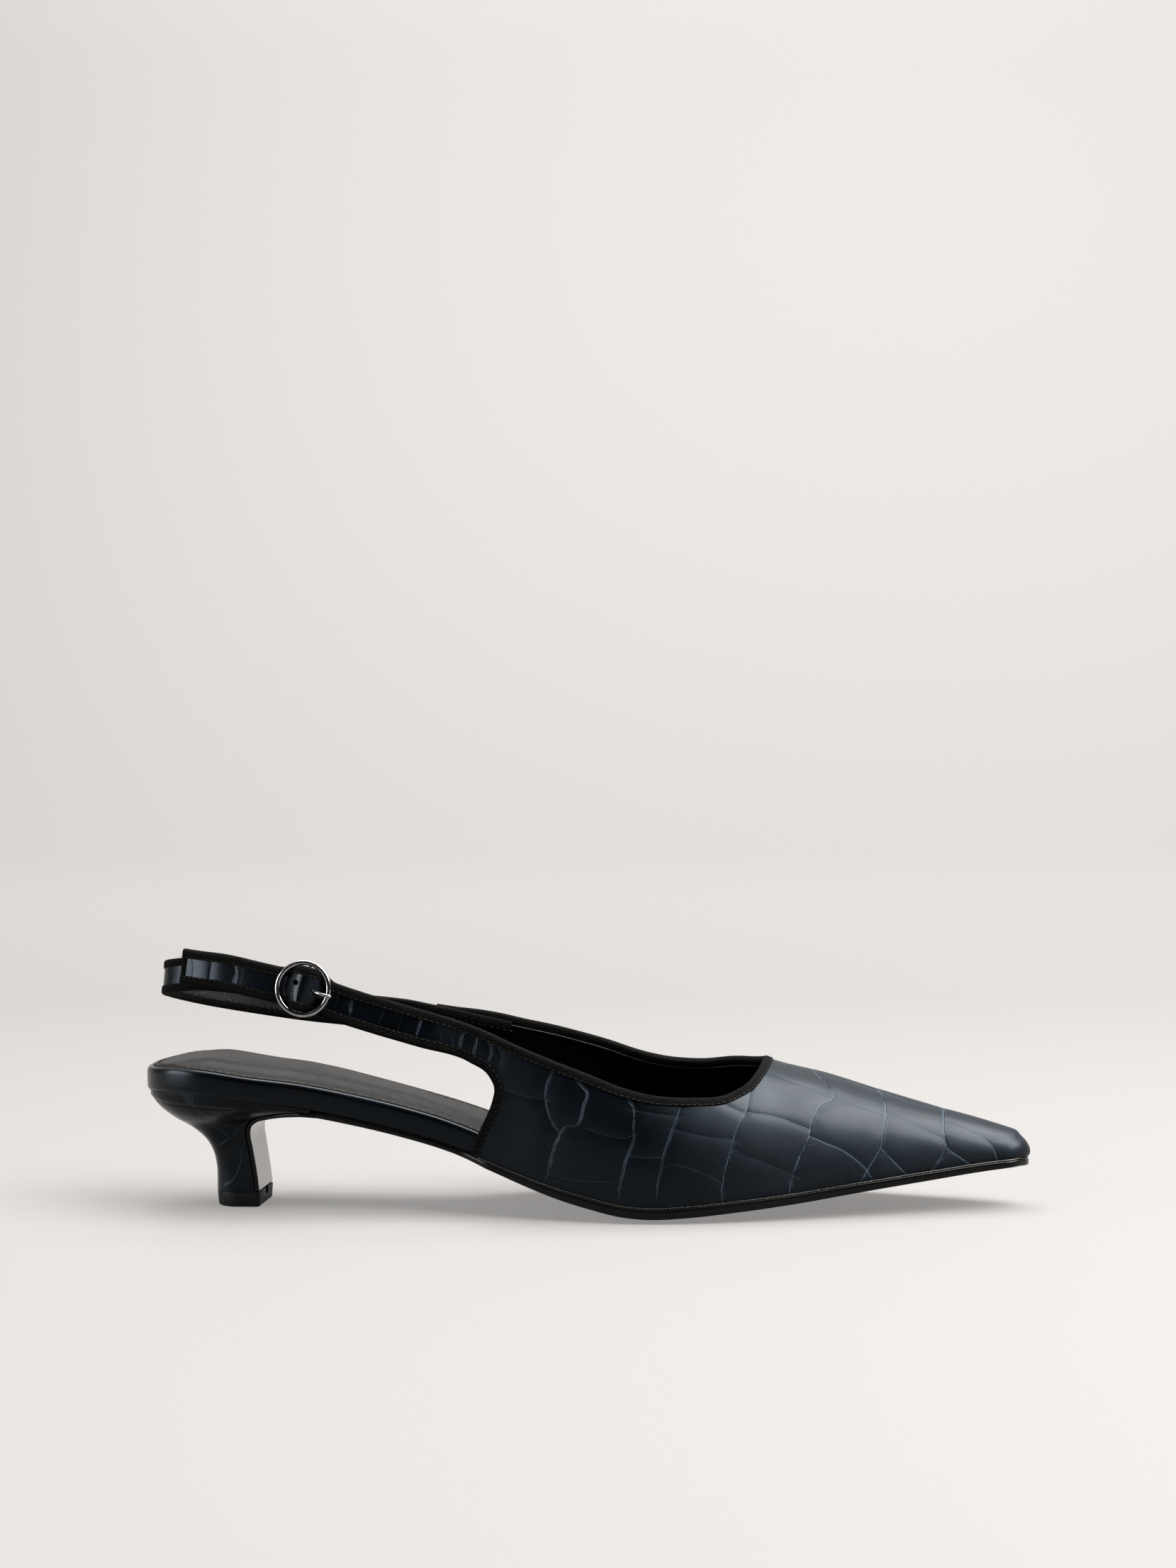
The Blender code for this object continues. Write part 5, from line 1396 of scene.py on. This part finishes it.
def make_outsole():
    """One slab from the toe to the shank, and on down the breast of the heel."""
    front, start = LENGTH - HEEL_SETBACK - SOLE_SETBACK, x_at(FLAP_START)
    rows, slab, breast = [], 150, 60
    for k in range(slab):
        s = k / slab
        x = front - (front - start) * (0.35 * s + 0.65 * s**1.7)
        forward = min(1.0, max(0.0, (share_at(x) - 0.372) / 0.03))
        edges = []
        for side in (-1, 1):
            shank = edge_y(x, side, -SHANK_MARGIN)
            fore = edge_y(x, side, UPPER_GROW + 0.4 * MM, 0.0, -SOLE_SETBACK)
            edges.append(float(shank + (fore - shank) * forward))
        rows.append((x, float(sole_bottom(x)), *edges, float(sole_top(x) - sole_bottom(x)), 1.0))
    for x, z, wide in breast_points(breast):
        rows.append((x, z, -wide, wide, FLAP_THICKNESS, 0.0))
    rows = np.array(rows)
    normals = path_normals(rows)
    shares = np.linspace(-1, 1, 23)
    loops = []
    for (x, z, outer, inner, thick, cambered), (nx, nz) in zip(rows, normals):
        if cambered:
            nx, nz = 0.0, 1.0
        centre, half = (outer + inner) / 2, (inner - outer) / 2
        bevel = min(SOLE_BEVEL, half * 0.4)
        raised = 0.55 * MM * math.exp(-max(0.0, front - x) / (3.5 * MM))
        thick -= raised * 1.35

        def at(y, lift):
            low = float(sole_bottom(x, y)) + raised if cambered else z
            return (x + nx * lift, y, low + nz * lift)

        side = ((0.62, 0.06), (0.28, 0.28), (0.06, 0.62), (0.0, 1.1))
        loop = [at(centre + c * (half - bevel), 0.0) for c in shares]
        loop += [at(inner - bevel * a, bevel * b) for a, b in side]
        top = ((0.0, 0.34), (0.05, 0.16), (0.18, 0.04), (0.36, 0.0))
        loop += [at(inner - a * MM, thick - b * MM) for a, b in top]
        loop += [at(centre + c * (half - 0.6 * MM), thick) for c in shares[::-1]]
        loop += [at(outer + a * MM, thick - b * MM) for a, b in top[::-1]]
        loop += [at(outer + bevel * a, bevel * b) for a, b in side[::-1]]
        loops.append(loop)
    points, faces = loft(loops)
    polished = [[k >= slab and i < len(shares) for i in range(len(loops[0]))] for k in range(len(loops) - 1)]
    kinds = [int(face) for row in polished for face in row] + [0, 0]
    made = solid("outsole_leather", points, outwards(points, faces), [EDGE, POLISH], kinds)
    placed(made, "outsole")
    line = []
    tip, end = LENGTH - HEEL_SETBACK - TOE_TUCK, x_at(0.392)
    for side in (-1, 1):
        x = tip - (tip - end) * np.linspace(0, 1, 260) ** 1.6
        y = edge_y(x, side, UPPER_GROW - 0.22 * MM, 0.0, -TOE_TUCK)
        z = board_bottom(x, y) - 0.08 * MM
        half = np.column_stack([x, y, z])
        line.append(half[::-1] if side < 0 else half[1:])
    bead = tube("welt_bead", np.concatenate(line), 0.30 * MM, WELT)
    return placed(bead, "outsole", False)


def d_ring(front, back, front_wide, wide, count, corner=0.02):
    """A D-shaped ring from a straight front edge round the back, in the plane through both."""
    front, back = np.array(front), np.array(back)
    ring = []
    for side in (-1, 1):
        half = [(0.0, front_wide * t) for t in (0.0, 0.3, 0.6, 0.84, 0.92)]
        half += [(corner * 0.25, front_wide * 0.955), (corner, front_wide * 0.985)]
        for k in range(1, count):
            s = k / count
            if s < 0.42:
                t = s / 0.42
                half.append((corner + (0.42 - corner) * t, front_wide + (wide - front_wide) * t * (2 - t)))
            else:
                turn = (s - 0.42) / 0.58 * math.pi / 2
                run = 0.42 + 0.58 * math.sin(turn) ** (2 / 2.3)
                half.append((run, wide * math.cos(turn) ** (2 / 2.3)))
        half.append((1.0, 0.0))
        points = [(*(front + (back - front) * s), side * y) for s, y in half]
        ring += points[:-1] if side < 0 else points[:0:-1]
    return [np.array([x, y, z]) for x, z, y in ring]


# Faint lines of the heel's cover, drawn in its material as painted highlight lines beside painted shade:
# forward of the origin as a share of LENGTH, share of SEAT_HEIGHT
HEEL_LINES = (
    ((-0.0596, 0.834), (-0.0321, 0.762), (-0.0073, 0.610), (-0.0180, 0.536)),
    ((-0.0170, 0.173), (-0.0029, 0.247), (0.0056, 0.383), (0.0075, 0.493)),
    ((0.0010, 0.640), (0.0075, 0.700), (0.0180, 0.760)),
)


def heel_fields(points):
    """Signed distance in mm from the cover's lines, seen from the side."""
    best = np.full(len(points), FAR)
    for line in HEEL_LINES:
        path = along([(x * LENGTH, z * SEAT_HEIGHT) for x, z in line], 60)
        ahead = unit(np.gradient(path, axis=0))
        gap = points[:, None, [0, 2]] - path[None]
        far = np.linalg.norm(gap, axis=2)
        pick = np.argmin(far, axis=1)
        rows = np.arange(len(points))
        cross = gap[rows, pick, 0] * ahead[pick, 1] - gap[rows, pick, 1] * ahead[pick, 0]
        signed = np.minimum(far[rows, pick] / MM, FAR) * np.where(cross < 0, -1, 1)
        best = np.where(np.abs(signed) < np.abs(best), signed, best)
    return {"fold": np.full(len(points), FAR), "line": best, "near": np.abs(best) * 0.6 + 0.55}


def make_heel():
    """The covered heel, from its flat breast round the back, up to the footbed."""
    floor, count = TIP_THICKNESS + CLEARANCE * 0.4, 84
    path = breast_points(240)
    normals = path_normals(path)
    inside = np.column_stack([path[:, :2] + normals * (FLAP_THICKNESS + 0.1 * MM), path[:, 2]])
    reach = x_at(FLAP_START)
    wedge = np.linspace((reach, sole_top(reach) + 0.1 * MM, path[0, 2]), inside[0], 30)[:-1]
    inside = np.concatenate([wedge, inside])
    gap = board_bottom(inside[:, 0], 0.0) - 0.1 * MM - inside[:, 1]
    fronts = along(inside[gap > 0.12 * MM], count)[::-1]
    half = BALL_WIDTH * SEAT_SHARE
    backs = along([(-x * LENGTH, z * SEAT_HEIGHT, w * half) for x, z, w in HEEL_BACK], count)
    rings = []
    for k in range(count):
        front, back = fronts[k], backs[k]
        ends = (front[0], max(front[1], floor)), (back[0], max(back[1], floor))
        ring = np.array(d_ring(*ends, front[2], max(back[2], front[2]), 44))
        lid = board_bottom(ring[:, 0], ring[:, 1]) - 0.1 * MM - 0.06 * MM * (count - k)
        ring[:, 2] = np.minimum(ring[:, 2], lid)
        if k == 0:
            ring[:, 2] = floor
        rings.append(list(ring))
    top = np.array(rings[-1])
    top[:, 2] = board_bottom(top[:, 0], top[:, 1]) - 0.1 * MM
    rings.append(list(top))
    points, faces = ring_stack(rings, lambda x, y: floor, lambda x, y: board_bottom(x, y) - 0.1 * MM, 8)
    made = solid("heel_cover", points, outwards(points, faces), CROC, crease=heel_fields(points))
    return placed(made, "heel")


def make_top_piece():
    rings = []
    high = TIP_THICKNESS / MM
    levels = ((0.0, 0.6), (0.12, 0.42), (0.4, 0.3), (high * 0.5, 0.15))
    levels += ((high - 0.35, 0.02), (high - 0.1, 0.08), (high, 0.25))
    for z, taper in levels:
        taper, z = taper * MM, z * MM
        front, back = (TIP_FRONT - taper, z), (-TIP_BACK + taper, z)
        rings.append(d_ring(front, back, TIP_HALF_WIDTH - taper, TIP_HALF_WIDTH - taper, 44, 0.05))
    points, faces = ring_stack(rings, lambda x, y: 0.0, lambda x, y: TIP_THICKNESS, 8)
    made = solid("top_piece_rubber", points, outwards(points, faces), RUBBER)
    inner_x, outer_x = TIP_FRONT - MARK_DEPTH, TIP_FRONT + 1 * MM
    near_y, far_y = MARK_SIDES
    corners = ((inner_x, near_y), (outer_x, near_y), (outer_x, far_y), (inner_x, far_y))
    box = [[(x, y, z) for x, y in corners] for z in (TIP_THICKNESS - MARK_HEIGHT, TIP_THICKNESS + 1 * MM)]
    points, faces = loft(box)
    cutter = solid("mark_cutter", points, outwards(points, faces), RUBBER)
    mark = made.modifiers.new("mark", "BOOLEAN")
    mark.operation, mark.solver, mark.object = "DIFFERENCE", "EXACT", cutter
    settle(made)
    bpy.data.objects.remove(cutter)
    return placed(made, "top_piece")


# Sling strap, buckle and prong


TUCK = 0.7 * MM  # half of what the sling's upper edge is drawn in beside the buckle
TUCK_ROWS = (36, 14)  # rows over which that comes and goes, before and after the loop's start


def sling_path():
    """The sling's middle surface, ending in the loop round the buckle's bar."""
    lap = []
    for share, high, skived in LAP:
        inwards = WALL + CLEARANCE + BINDING_RISE + STRAP_THICKNESS * skived / 2
        x, z = x_at(share), high * STRAP_HEIGHT
        one, two, here = wall_directions(x, z, 1)
        lap.append(here - unit(np.cross(two, one)) * inwards)
    _, _, out = strap_frame(NEAR_PATH, -1)
    under = NEAR_PATH - out * (WALL + CLEARANCE + BINDING_RISE + STRAP_THICKNESS / 2)
    up = np.array([0.0, 0.0, 1.0])
    hidden = []
    for share, drop in ((0.0710, 1.6), (0.1005, 1.1), (0.1300, 0.5), (0.1580, 0.1)):
        at = int(np.argmin(np.abs(NEAR_PATH[:, 0] - x_at(share))))
        hidden.append(under[at] - up * drop * MM)
    centres = along([*lap, *table_points(SLING), *hidden], 260)
    ahead, across, out = strap_frame(centres, 1)
    for k, (p, run) in enumerate(zip(centres, ahead)):
        share = min(1.0, max(0.0, (p[0] - x_at(0.275)) / (0.05 * LENGTH)))
        if share > 0:
            _, two, _ = wall_directions(p[0], p[2], 1)
            two = unit(two - run * (two @ run))
            across[k] = unit(across[k] * (1 - share) + two * share)
            out[k] = unit(np.cross(run, across[k]))
    start = float((centres[-1] - ORIGIN) @ TOEWARDS)
    depth = float((centres[-1] - ORIGIN) @ OUTWARDS)
    bend = LOOP_RADIUS - LOOP_THICKNESS / 2
    path = [(start, depth), (start * 0.72, depth), (-0.657 * RING_INNER, -0.293 * RING_INNER)]
    path += [(-0.429 * RING_INNER, -0.207 * RING_INNER), (-0.214 * RING_INNER, BAR_OUT - bend - 0.15 * MM)]
    path = list(along(path, 30))[1:-1]
    straight = len(path)
    for turn in np.radians(np.linspace(-100, 150, 36)):
        path.append((bend * math.cos(turn), BAR_OUT + bend * math.sin(turn)))
    path = np.array(path)
    run = unit(np.gradient(path, axis=0))
    loop = ORIGIN + path[:, :1] * TOEWARDS + path[:, 1:] * OUTWARDS
    facing = -run[:, 1:] * TOEWARDS + run[:, :1] * OUTWARDS
    centres = np.concatenate([centres, loop])
    out = np.concatenate([out, facing])
    across = np.concatenate([across, np.repeat(UPWARDS[None], len(path), axis=0)])
    thin = np.clip((path[:, 0] - start * 0.8) / (-start * 0.55), 0, 1)
    thin[straight:] = 1.0
    skives = np.interp(share_at(centres[:, 0]), [row[0] for row in LAP[::-1]], [row[2] for row in LAP[::-1]])
    thick = STRAP_THICKNESS * skives
    thick[-len(path) :] += (LOOP_THICKNESS - STRAP_THICKNESS) * thin
    wide = np.full(len(centres), STRAP_WIDTH - 0.2 * MM)
    joint = len(centres) - len(path)
    rows = np.arange(len(centres)) - joint
    tuck = np.clip(1 + rows / TUCK_ROWS[0], 0, 1) * np.clip(1 - rows / TUCK_ROWS[1], 0, 1) * TUCK
    wide -= tuck * 2
    centres = centres - across * tuck[:, None]
    wide[-len(path) :] -= 1.0 * MM * thin
    return centres, out, across, wide, thick, len(path) - straight


def make_sling():
    centres, out, across, wide, thick, curl = sling_path()
    whole = slice(0, len(centres) - curl - 12)
    loops = []
    for p, n, t, w, h in zip(centres, out, across, wide, thick):
        half, soft = w / 2 - 0.25 * MM, min(0.3 * MM, h / 3)
        profile = [(c, h / 2) for c in np.linspace(-half + soft, half - soft, 9)]
        profile += [(half, h / 2 - soft), (half, -h / 2 + soft)]
        profile += [(c, -h / 2) for c in np.linspace(half - soft, -half + soft, 9)]
        profile += [(-half, -h / 2 + soft), (-half, h / 2 - soft)]
        loops.append([p + t * a + n * b for a, b in profile])
    # the loop round the bar is split for the prong: two narrow tongues
    tongue = len(centres) - curl - 8
    points, faces = loft(loops[:tongue])
    crease = {key: np.full(len(points), FAR) for key in ("fold", "line", "near")}
    size = len(loops[0])
    kinds = []
    for face in faces:
        middle_row = face[0] % size
        # the inner face: lighter lining with painted sheen behind x_at(0.235), the black lining forward of
        # it
        hidden = 2 if points[face[0]][0] > x_at(0.235) else 1
        kinds.append(0 if len(face) == 4 and middle_row < 9 else hidden)
    finishes = [CROC, GLOSSY_LINING_PAINTED_SHEEN, LINING]
    made = solid("sling_leather", points, outwards(points, faces), finishes, kinds, crease=crease)
    placed(made, "sling_strap")
    gap = PRONG_RADIUS + CLEARANCE
    for number, (low, high) in enumerate(((-1.0, -gap), (gap, 1.0))):
        loops = []
        for k in range(tongue - 1, len(centres)):
            half = wide[k] / 2 - 0.25 * MM
            a, b = (-half if low == -1.0 else low), (half if high == 1.0 else high)
            h = thick[k] / 2
            profile = ((a, h), (b, h), (b, -h), (a, -h))
            loops.append([centres[k] + across[k] * y + out[k] * z for y, z in profile])
        points, faces = loft(loops)
        made = solid(f"sling_tongue_{number}", points, outwards(points, faces), LINING)
        placed(made, "sling_strap", False)
    centres, out, across, wide, thick = (a[whole] for a in (centres, out, across, wide, thick))
    lines = []
    for side, name in ((-1, "low"), (1, "high")):
        loops = []
        for p, n, t, w, h in zip(centres[::2], out[::2], across[::2], wide[::2], thick[::2]):
            e, h = w / 2 / MM, h / 2 / MM
            profile = [(e - 2.4, h), (e - 2.3, h + 0.22), (e - 2.0, h + 0.33), (e - 1.0, h + 0.36)]
            profile += [(e - 0.3, h + 0.3), (e, h), (e + 0.1, 0.0), (e, -h)]
            profile += [(e - 0.3, -h - 0.22), (e - 1.0, -h - 0.28)]
            profile += [(e - 2.0, -h - 0.26), (e - 2.3, -h - 0.15), (e - 2.4, -h + 0.2), (e - 2.4, h - 0.2)]
            loops.append([p + t * side * a * MM + n * b * MM for a, b in profile])
        points, faces = loft(loops)
        made = solid(f"sling_binding_{name}", points, outwards(points, faces), BINDING, angle=50)
        placed(made, "sling_strap", False)
        away = (wide / 2 - 2.75 * MM)[:, None] * side
        lines.append(centres + across * away - out * (thick / 2 + 0.02 * MM)[:, None])
    stitch("sling_stitches", "sling_strap", lines, pitch=2.0, length=1.3, radius=0.17)


def make_buckle():
    low = CLEARANCE + BINDING_RISE
    loops = []
    turns = np.linspace(0, 2 * math.pi, 97)[:-1]
    for turn in turns:
        radial = TOEWARDS * math.cos(turn) + UPWARDS * math.sin(turn)
        loop = []
        for k in range(20):
            a = 2 * math.pi * k / 20
            r = 0.5 + 0.5 * np.sign(math.cos(a)) * abs(math.cos(a)) ** 0.7
            h = 0.5 + 0.5 * np.sign(math.sin(a)) * abs(math.sin(a)) ** 0.7
            out = low + RING_THICKNESS * h
            loop.append(ORIGIN + radial * (RING_INNER + RING_BAND * r) + OUTWARDS * out)
        loops.append(loop)
    points, faces = loft(loops, ring=True)
    made = solid("buckle_ring", points, outwards(points, faces), METAL, angle=80)
    placed(made, "buckle")
    reach = RING_INNER + RING_BAND * 0.4
    bar = []
    for end in np.linspace(-reach, reach, 5):
        centre = ORIGIN + UPWARDS * end + OUTWARDS * BAR_OUT
        bar.append([
            centre + (OUTWARDS * math.sin(t) + TOEWARDS * math.cos(t)) * BAR_RADIUS
            for t in np.linspace(0, 2 * math.pi, 17)[:-1]
        ])
    points, faces = loft(bar)
    made = solid("buckle_bar", points, outwards(points, faces), METAL)
    return placed(made, "buckle", False)


def make_prong():
    bend = BAR_RADIUS + CLEARANCE + PRONG_RADIUS
    path = []
    for turn in np.radians(np.linspace(290, -5, 40)):
        path.append((bend * math.cos(turn), BAR_OUT + bend * math.sin(turn)))
    top = CLEARANCE + BINDING_RISE + RING_THICKNESS + CLEARANCE * 0.3 + PRONG_RADIUS
    pin = [(0.329, 0.107), (PRONG_HOLE, 0.229), (0.8, top / RING_INNER - 0.05)]
    pin += [(1.057, top / RING_INNER), (1.286, top / RING_INNER + 0.007)]
    pin = [path[-1], *((s * RING_INNER, n * RING_INNER) for s, n in pin)]
    path += list(along(pin, 60))[1:]
    path = np.array(path)
    run = unit(np.gradient(path, axis=0))
    loops = []
    for k, ((s, n), (a, b)) in enumerate(zip(path, run)):
        centre = ORIGIN + TOEWARDS * s + OUTWARDS * n
        side = -TOEWARDS * b + OUTWARDS * a
        left = len(path) - 1 - k
        radius = PRONG_RADIUS * (1.0 + 0.35 * float(np.clip((s - 2 * MM) / (2 * MM), 0, 1)))
        radius *= 1.0 if left > 3 else (0.55, 0.85, 0.97, 1.0)[left]
        turns = np.linspace(0, 2 * math.pi, 15)[:-1]
        loops.append([centre + (side * math.cos(t) + UPWARDS * math.sin(t)) * radius for t in turns])
    points, faces = loft(loops)
    made = solid("prong_pin", points, outwards(points, faces), METAL)
    return placed(made, "prong")


stitch("upper_stitches", "upper", make_bindings(*make_upper()), pitch=1.8, length=1.1, radius=0.15)
make_footbed()
make_sock()
make_outsole()
make_heel()
make_top_piece()
make_sling()
make_buckle()
make_prong()

# Stage, light and camera


def sweep(near=-3.0, turn=1.6, radius=0.9, top=4.0, half_width=4.0):
    """A seamless floor that turns up behind the shoe."""
    profile = [(near, 0.0), (turn, 0.0)]
    for t in np.linspace(0, math.pi / 2, 24)[1:]:
        profile.append((turn + radius * math.sin(t), radius - radius * math.cos(t)))
    profile.append((turn + radius, top))
    points = [(x, y, z) for y, z in profile for x in (-half_width, half_width)]
    faces = [(2 * k, 2 * k + 1, 2 * k + 3, 2 * k + 2) for k in range(len(profile) - 1)]
    finish = Finish("studio_paper", (0.049, 0.0467, 0.045), 0.8)
    finish.shader.inputs["Emission Color"].default_value = (1.0, 0.965, 0.94, 1.0)
    finish.shader.inputs["Emission Strength"].default_value = 0.26
    made = solid("studio_sweep", points, faces, finish.material, angle=80)


def stand(name, data, directions, place):
    """Puts a light or the camera into the scene; its directions are right, up and back."""
    made = bpy.data.objects.new(name, data)
    bpy.context.scene.collection.objects.link(made)
    rows = np.vstack([np.column_stack([*directions, place]), [0, 0, 0, 1]])
    made.matrix_world = Matrix([[*row] for row in rows])
    return made


def area_light(name, place, target, wide, high, power, colour):
    """A rectangular light of that many watts, turned to its target."""
    light = bpy.data.lights.new(name, "AREA")
    light.shape = "RECTANGLE"
    light.size, light.size_y, light.energy, light.color = wide, high, power, colour
    back = unit(np.array(place, float) - np.array(target, float))
    right = unit(np.cross([0.0, 0.0, 1.0], back))
    return stand(name, light, (right, np.cross(back, right), back), place)


def studio_world():
    """Bright from above and behind the shoe, dark from the camera's side."""
    world = bpy.data.worlds.new("studio")
    bpy.context.scene.world = world
    world.use_nodes = True
    tree = world.node_tree
    place = tree.nodes.new("ShaderNodeTexCoord").outputs["Generated"]
    axes = tree.nodes.new("ShaderNodeSeparateXYZ")
    tree.links.new(place, axes.inputs[0])
    high, deep = Field(tree, axes.outputs["Z"]), Field(tree, axes.outputs["Y"])
    bright = (high + deep * 0.45).above(0.42, 0.95)
    tree.nodes["Background"].inputs["Color"].default_value = (1.0, 0.985, 0.97, 1.0)
    tree.links.new((bright * 3.4 + 0.035).socket, tree.nodes["Background"].inputs["Strength"])


sweep()
studio_world()
area_light("key", (1.25, -0.33, 1.25), (0.17, 0.0, 0.03), 1.2, 1.35, 165.0, (1.0, 0.985, 0.97))
area_light("top", (0.25, 0.45, 1.5), (0.12, 0.0, 0.0), 1.6, 0.9, 75.0, (1.0, 0.99, 0.98))
area_light("back", (0.2, 1.25, 1.7), (0.2, 2.5, 1.2), 2.8, 0.8, 270.0, (1.0, 0.99, 0.985))
area_light("left", (-1.25, -0.55, 0.35), (0.0, 0.0, 0.05), 0.9, 0.8, 27.0, (0.97, 0.985, 1.0))

CAMERA_PLACE = (208.1 * MM, -885.9 * MM, 158.4 * MM)
CAMERA_ANGLES = (6.423, 1.989, 0.8)  # degrees: round the shoe, up, and rolled
SENSOR = 36.0
FOCAL_PIXELS = 4166.667
PHOTO_PIXELS = 2212.0  # the photo's height


def photo_camera():
    """The camera as solved from the photograph."""
    camera = bpy.data.cameras.new("photo_camera")
    camera.sensor_fit = "AUTO"
    camera.sensor_width = SENSOR
    camera.lens = SENSOR * FOCAL_PIXELS / PHOTO_PIXELS
    camera.clip_start, camera.clip_end = 0.01, 20.0
    azimuth, elevation, roll = (math.radians(angle) for angle in CAMERA_ANGLES)
    level = math.cos(elevation)
    back = np.array([math.sin(azimuth) * level, -math.cos(azimuth) * level, math.sin(elevation)])
    right = unit(np.cross(-back, [0.0, 0.0, 1.0]))
    up = np.cross(back, right)
    turned = right * math.cos(roll) - up * math.sin(roll)
    upright = right * math.sin(roll) + up * math.cos(roll)
    return stand("photo_camera", camera, (turned, upright, back), CAMERA_PLACE)


bpy.context.scene.camera = photo_camera()
bpy.context.scene.view_settings.view_transform = "Standard"
bpy.context.scene.view_settings.look = "None"

bpy.context.view_layer.update()
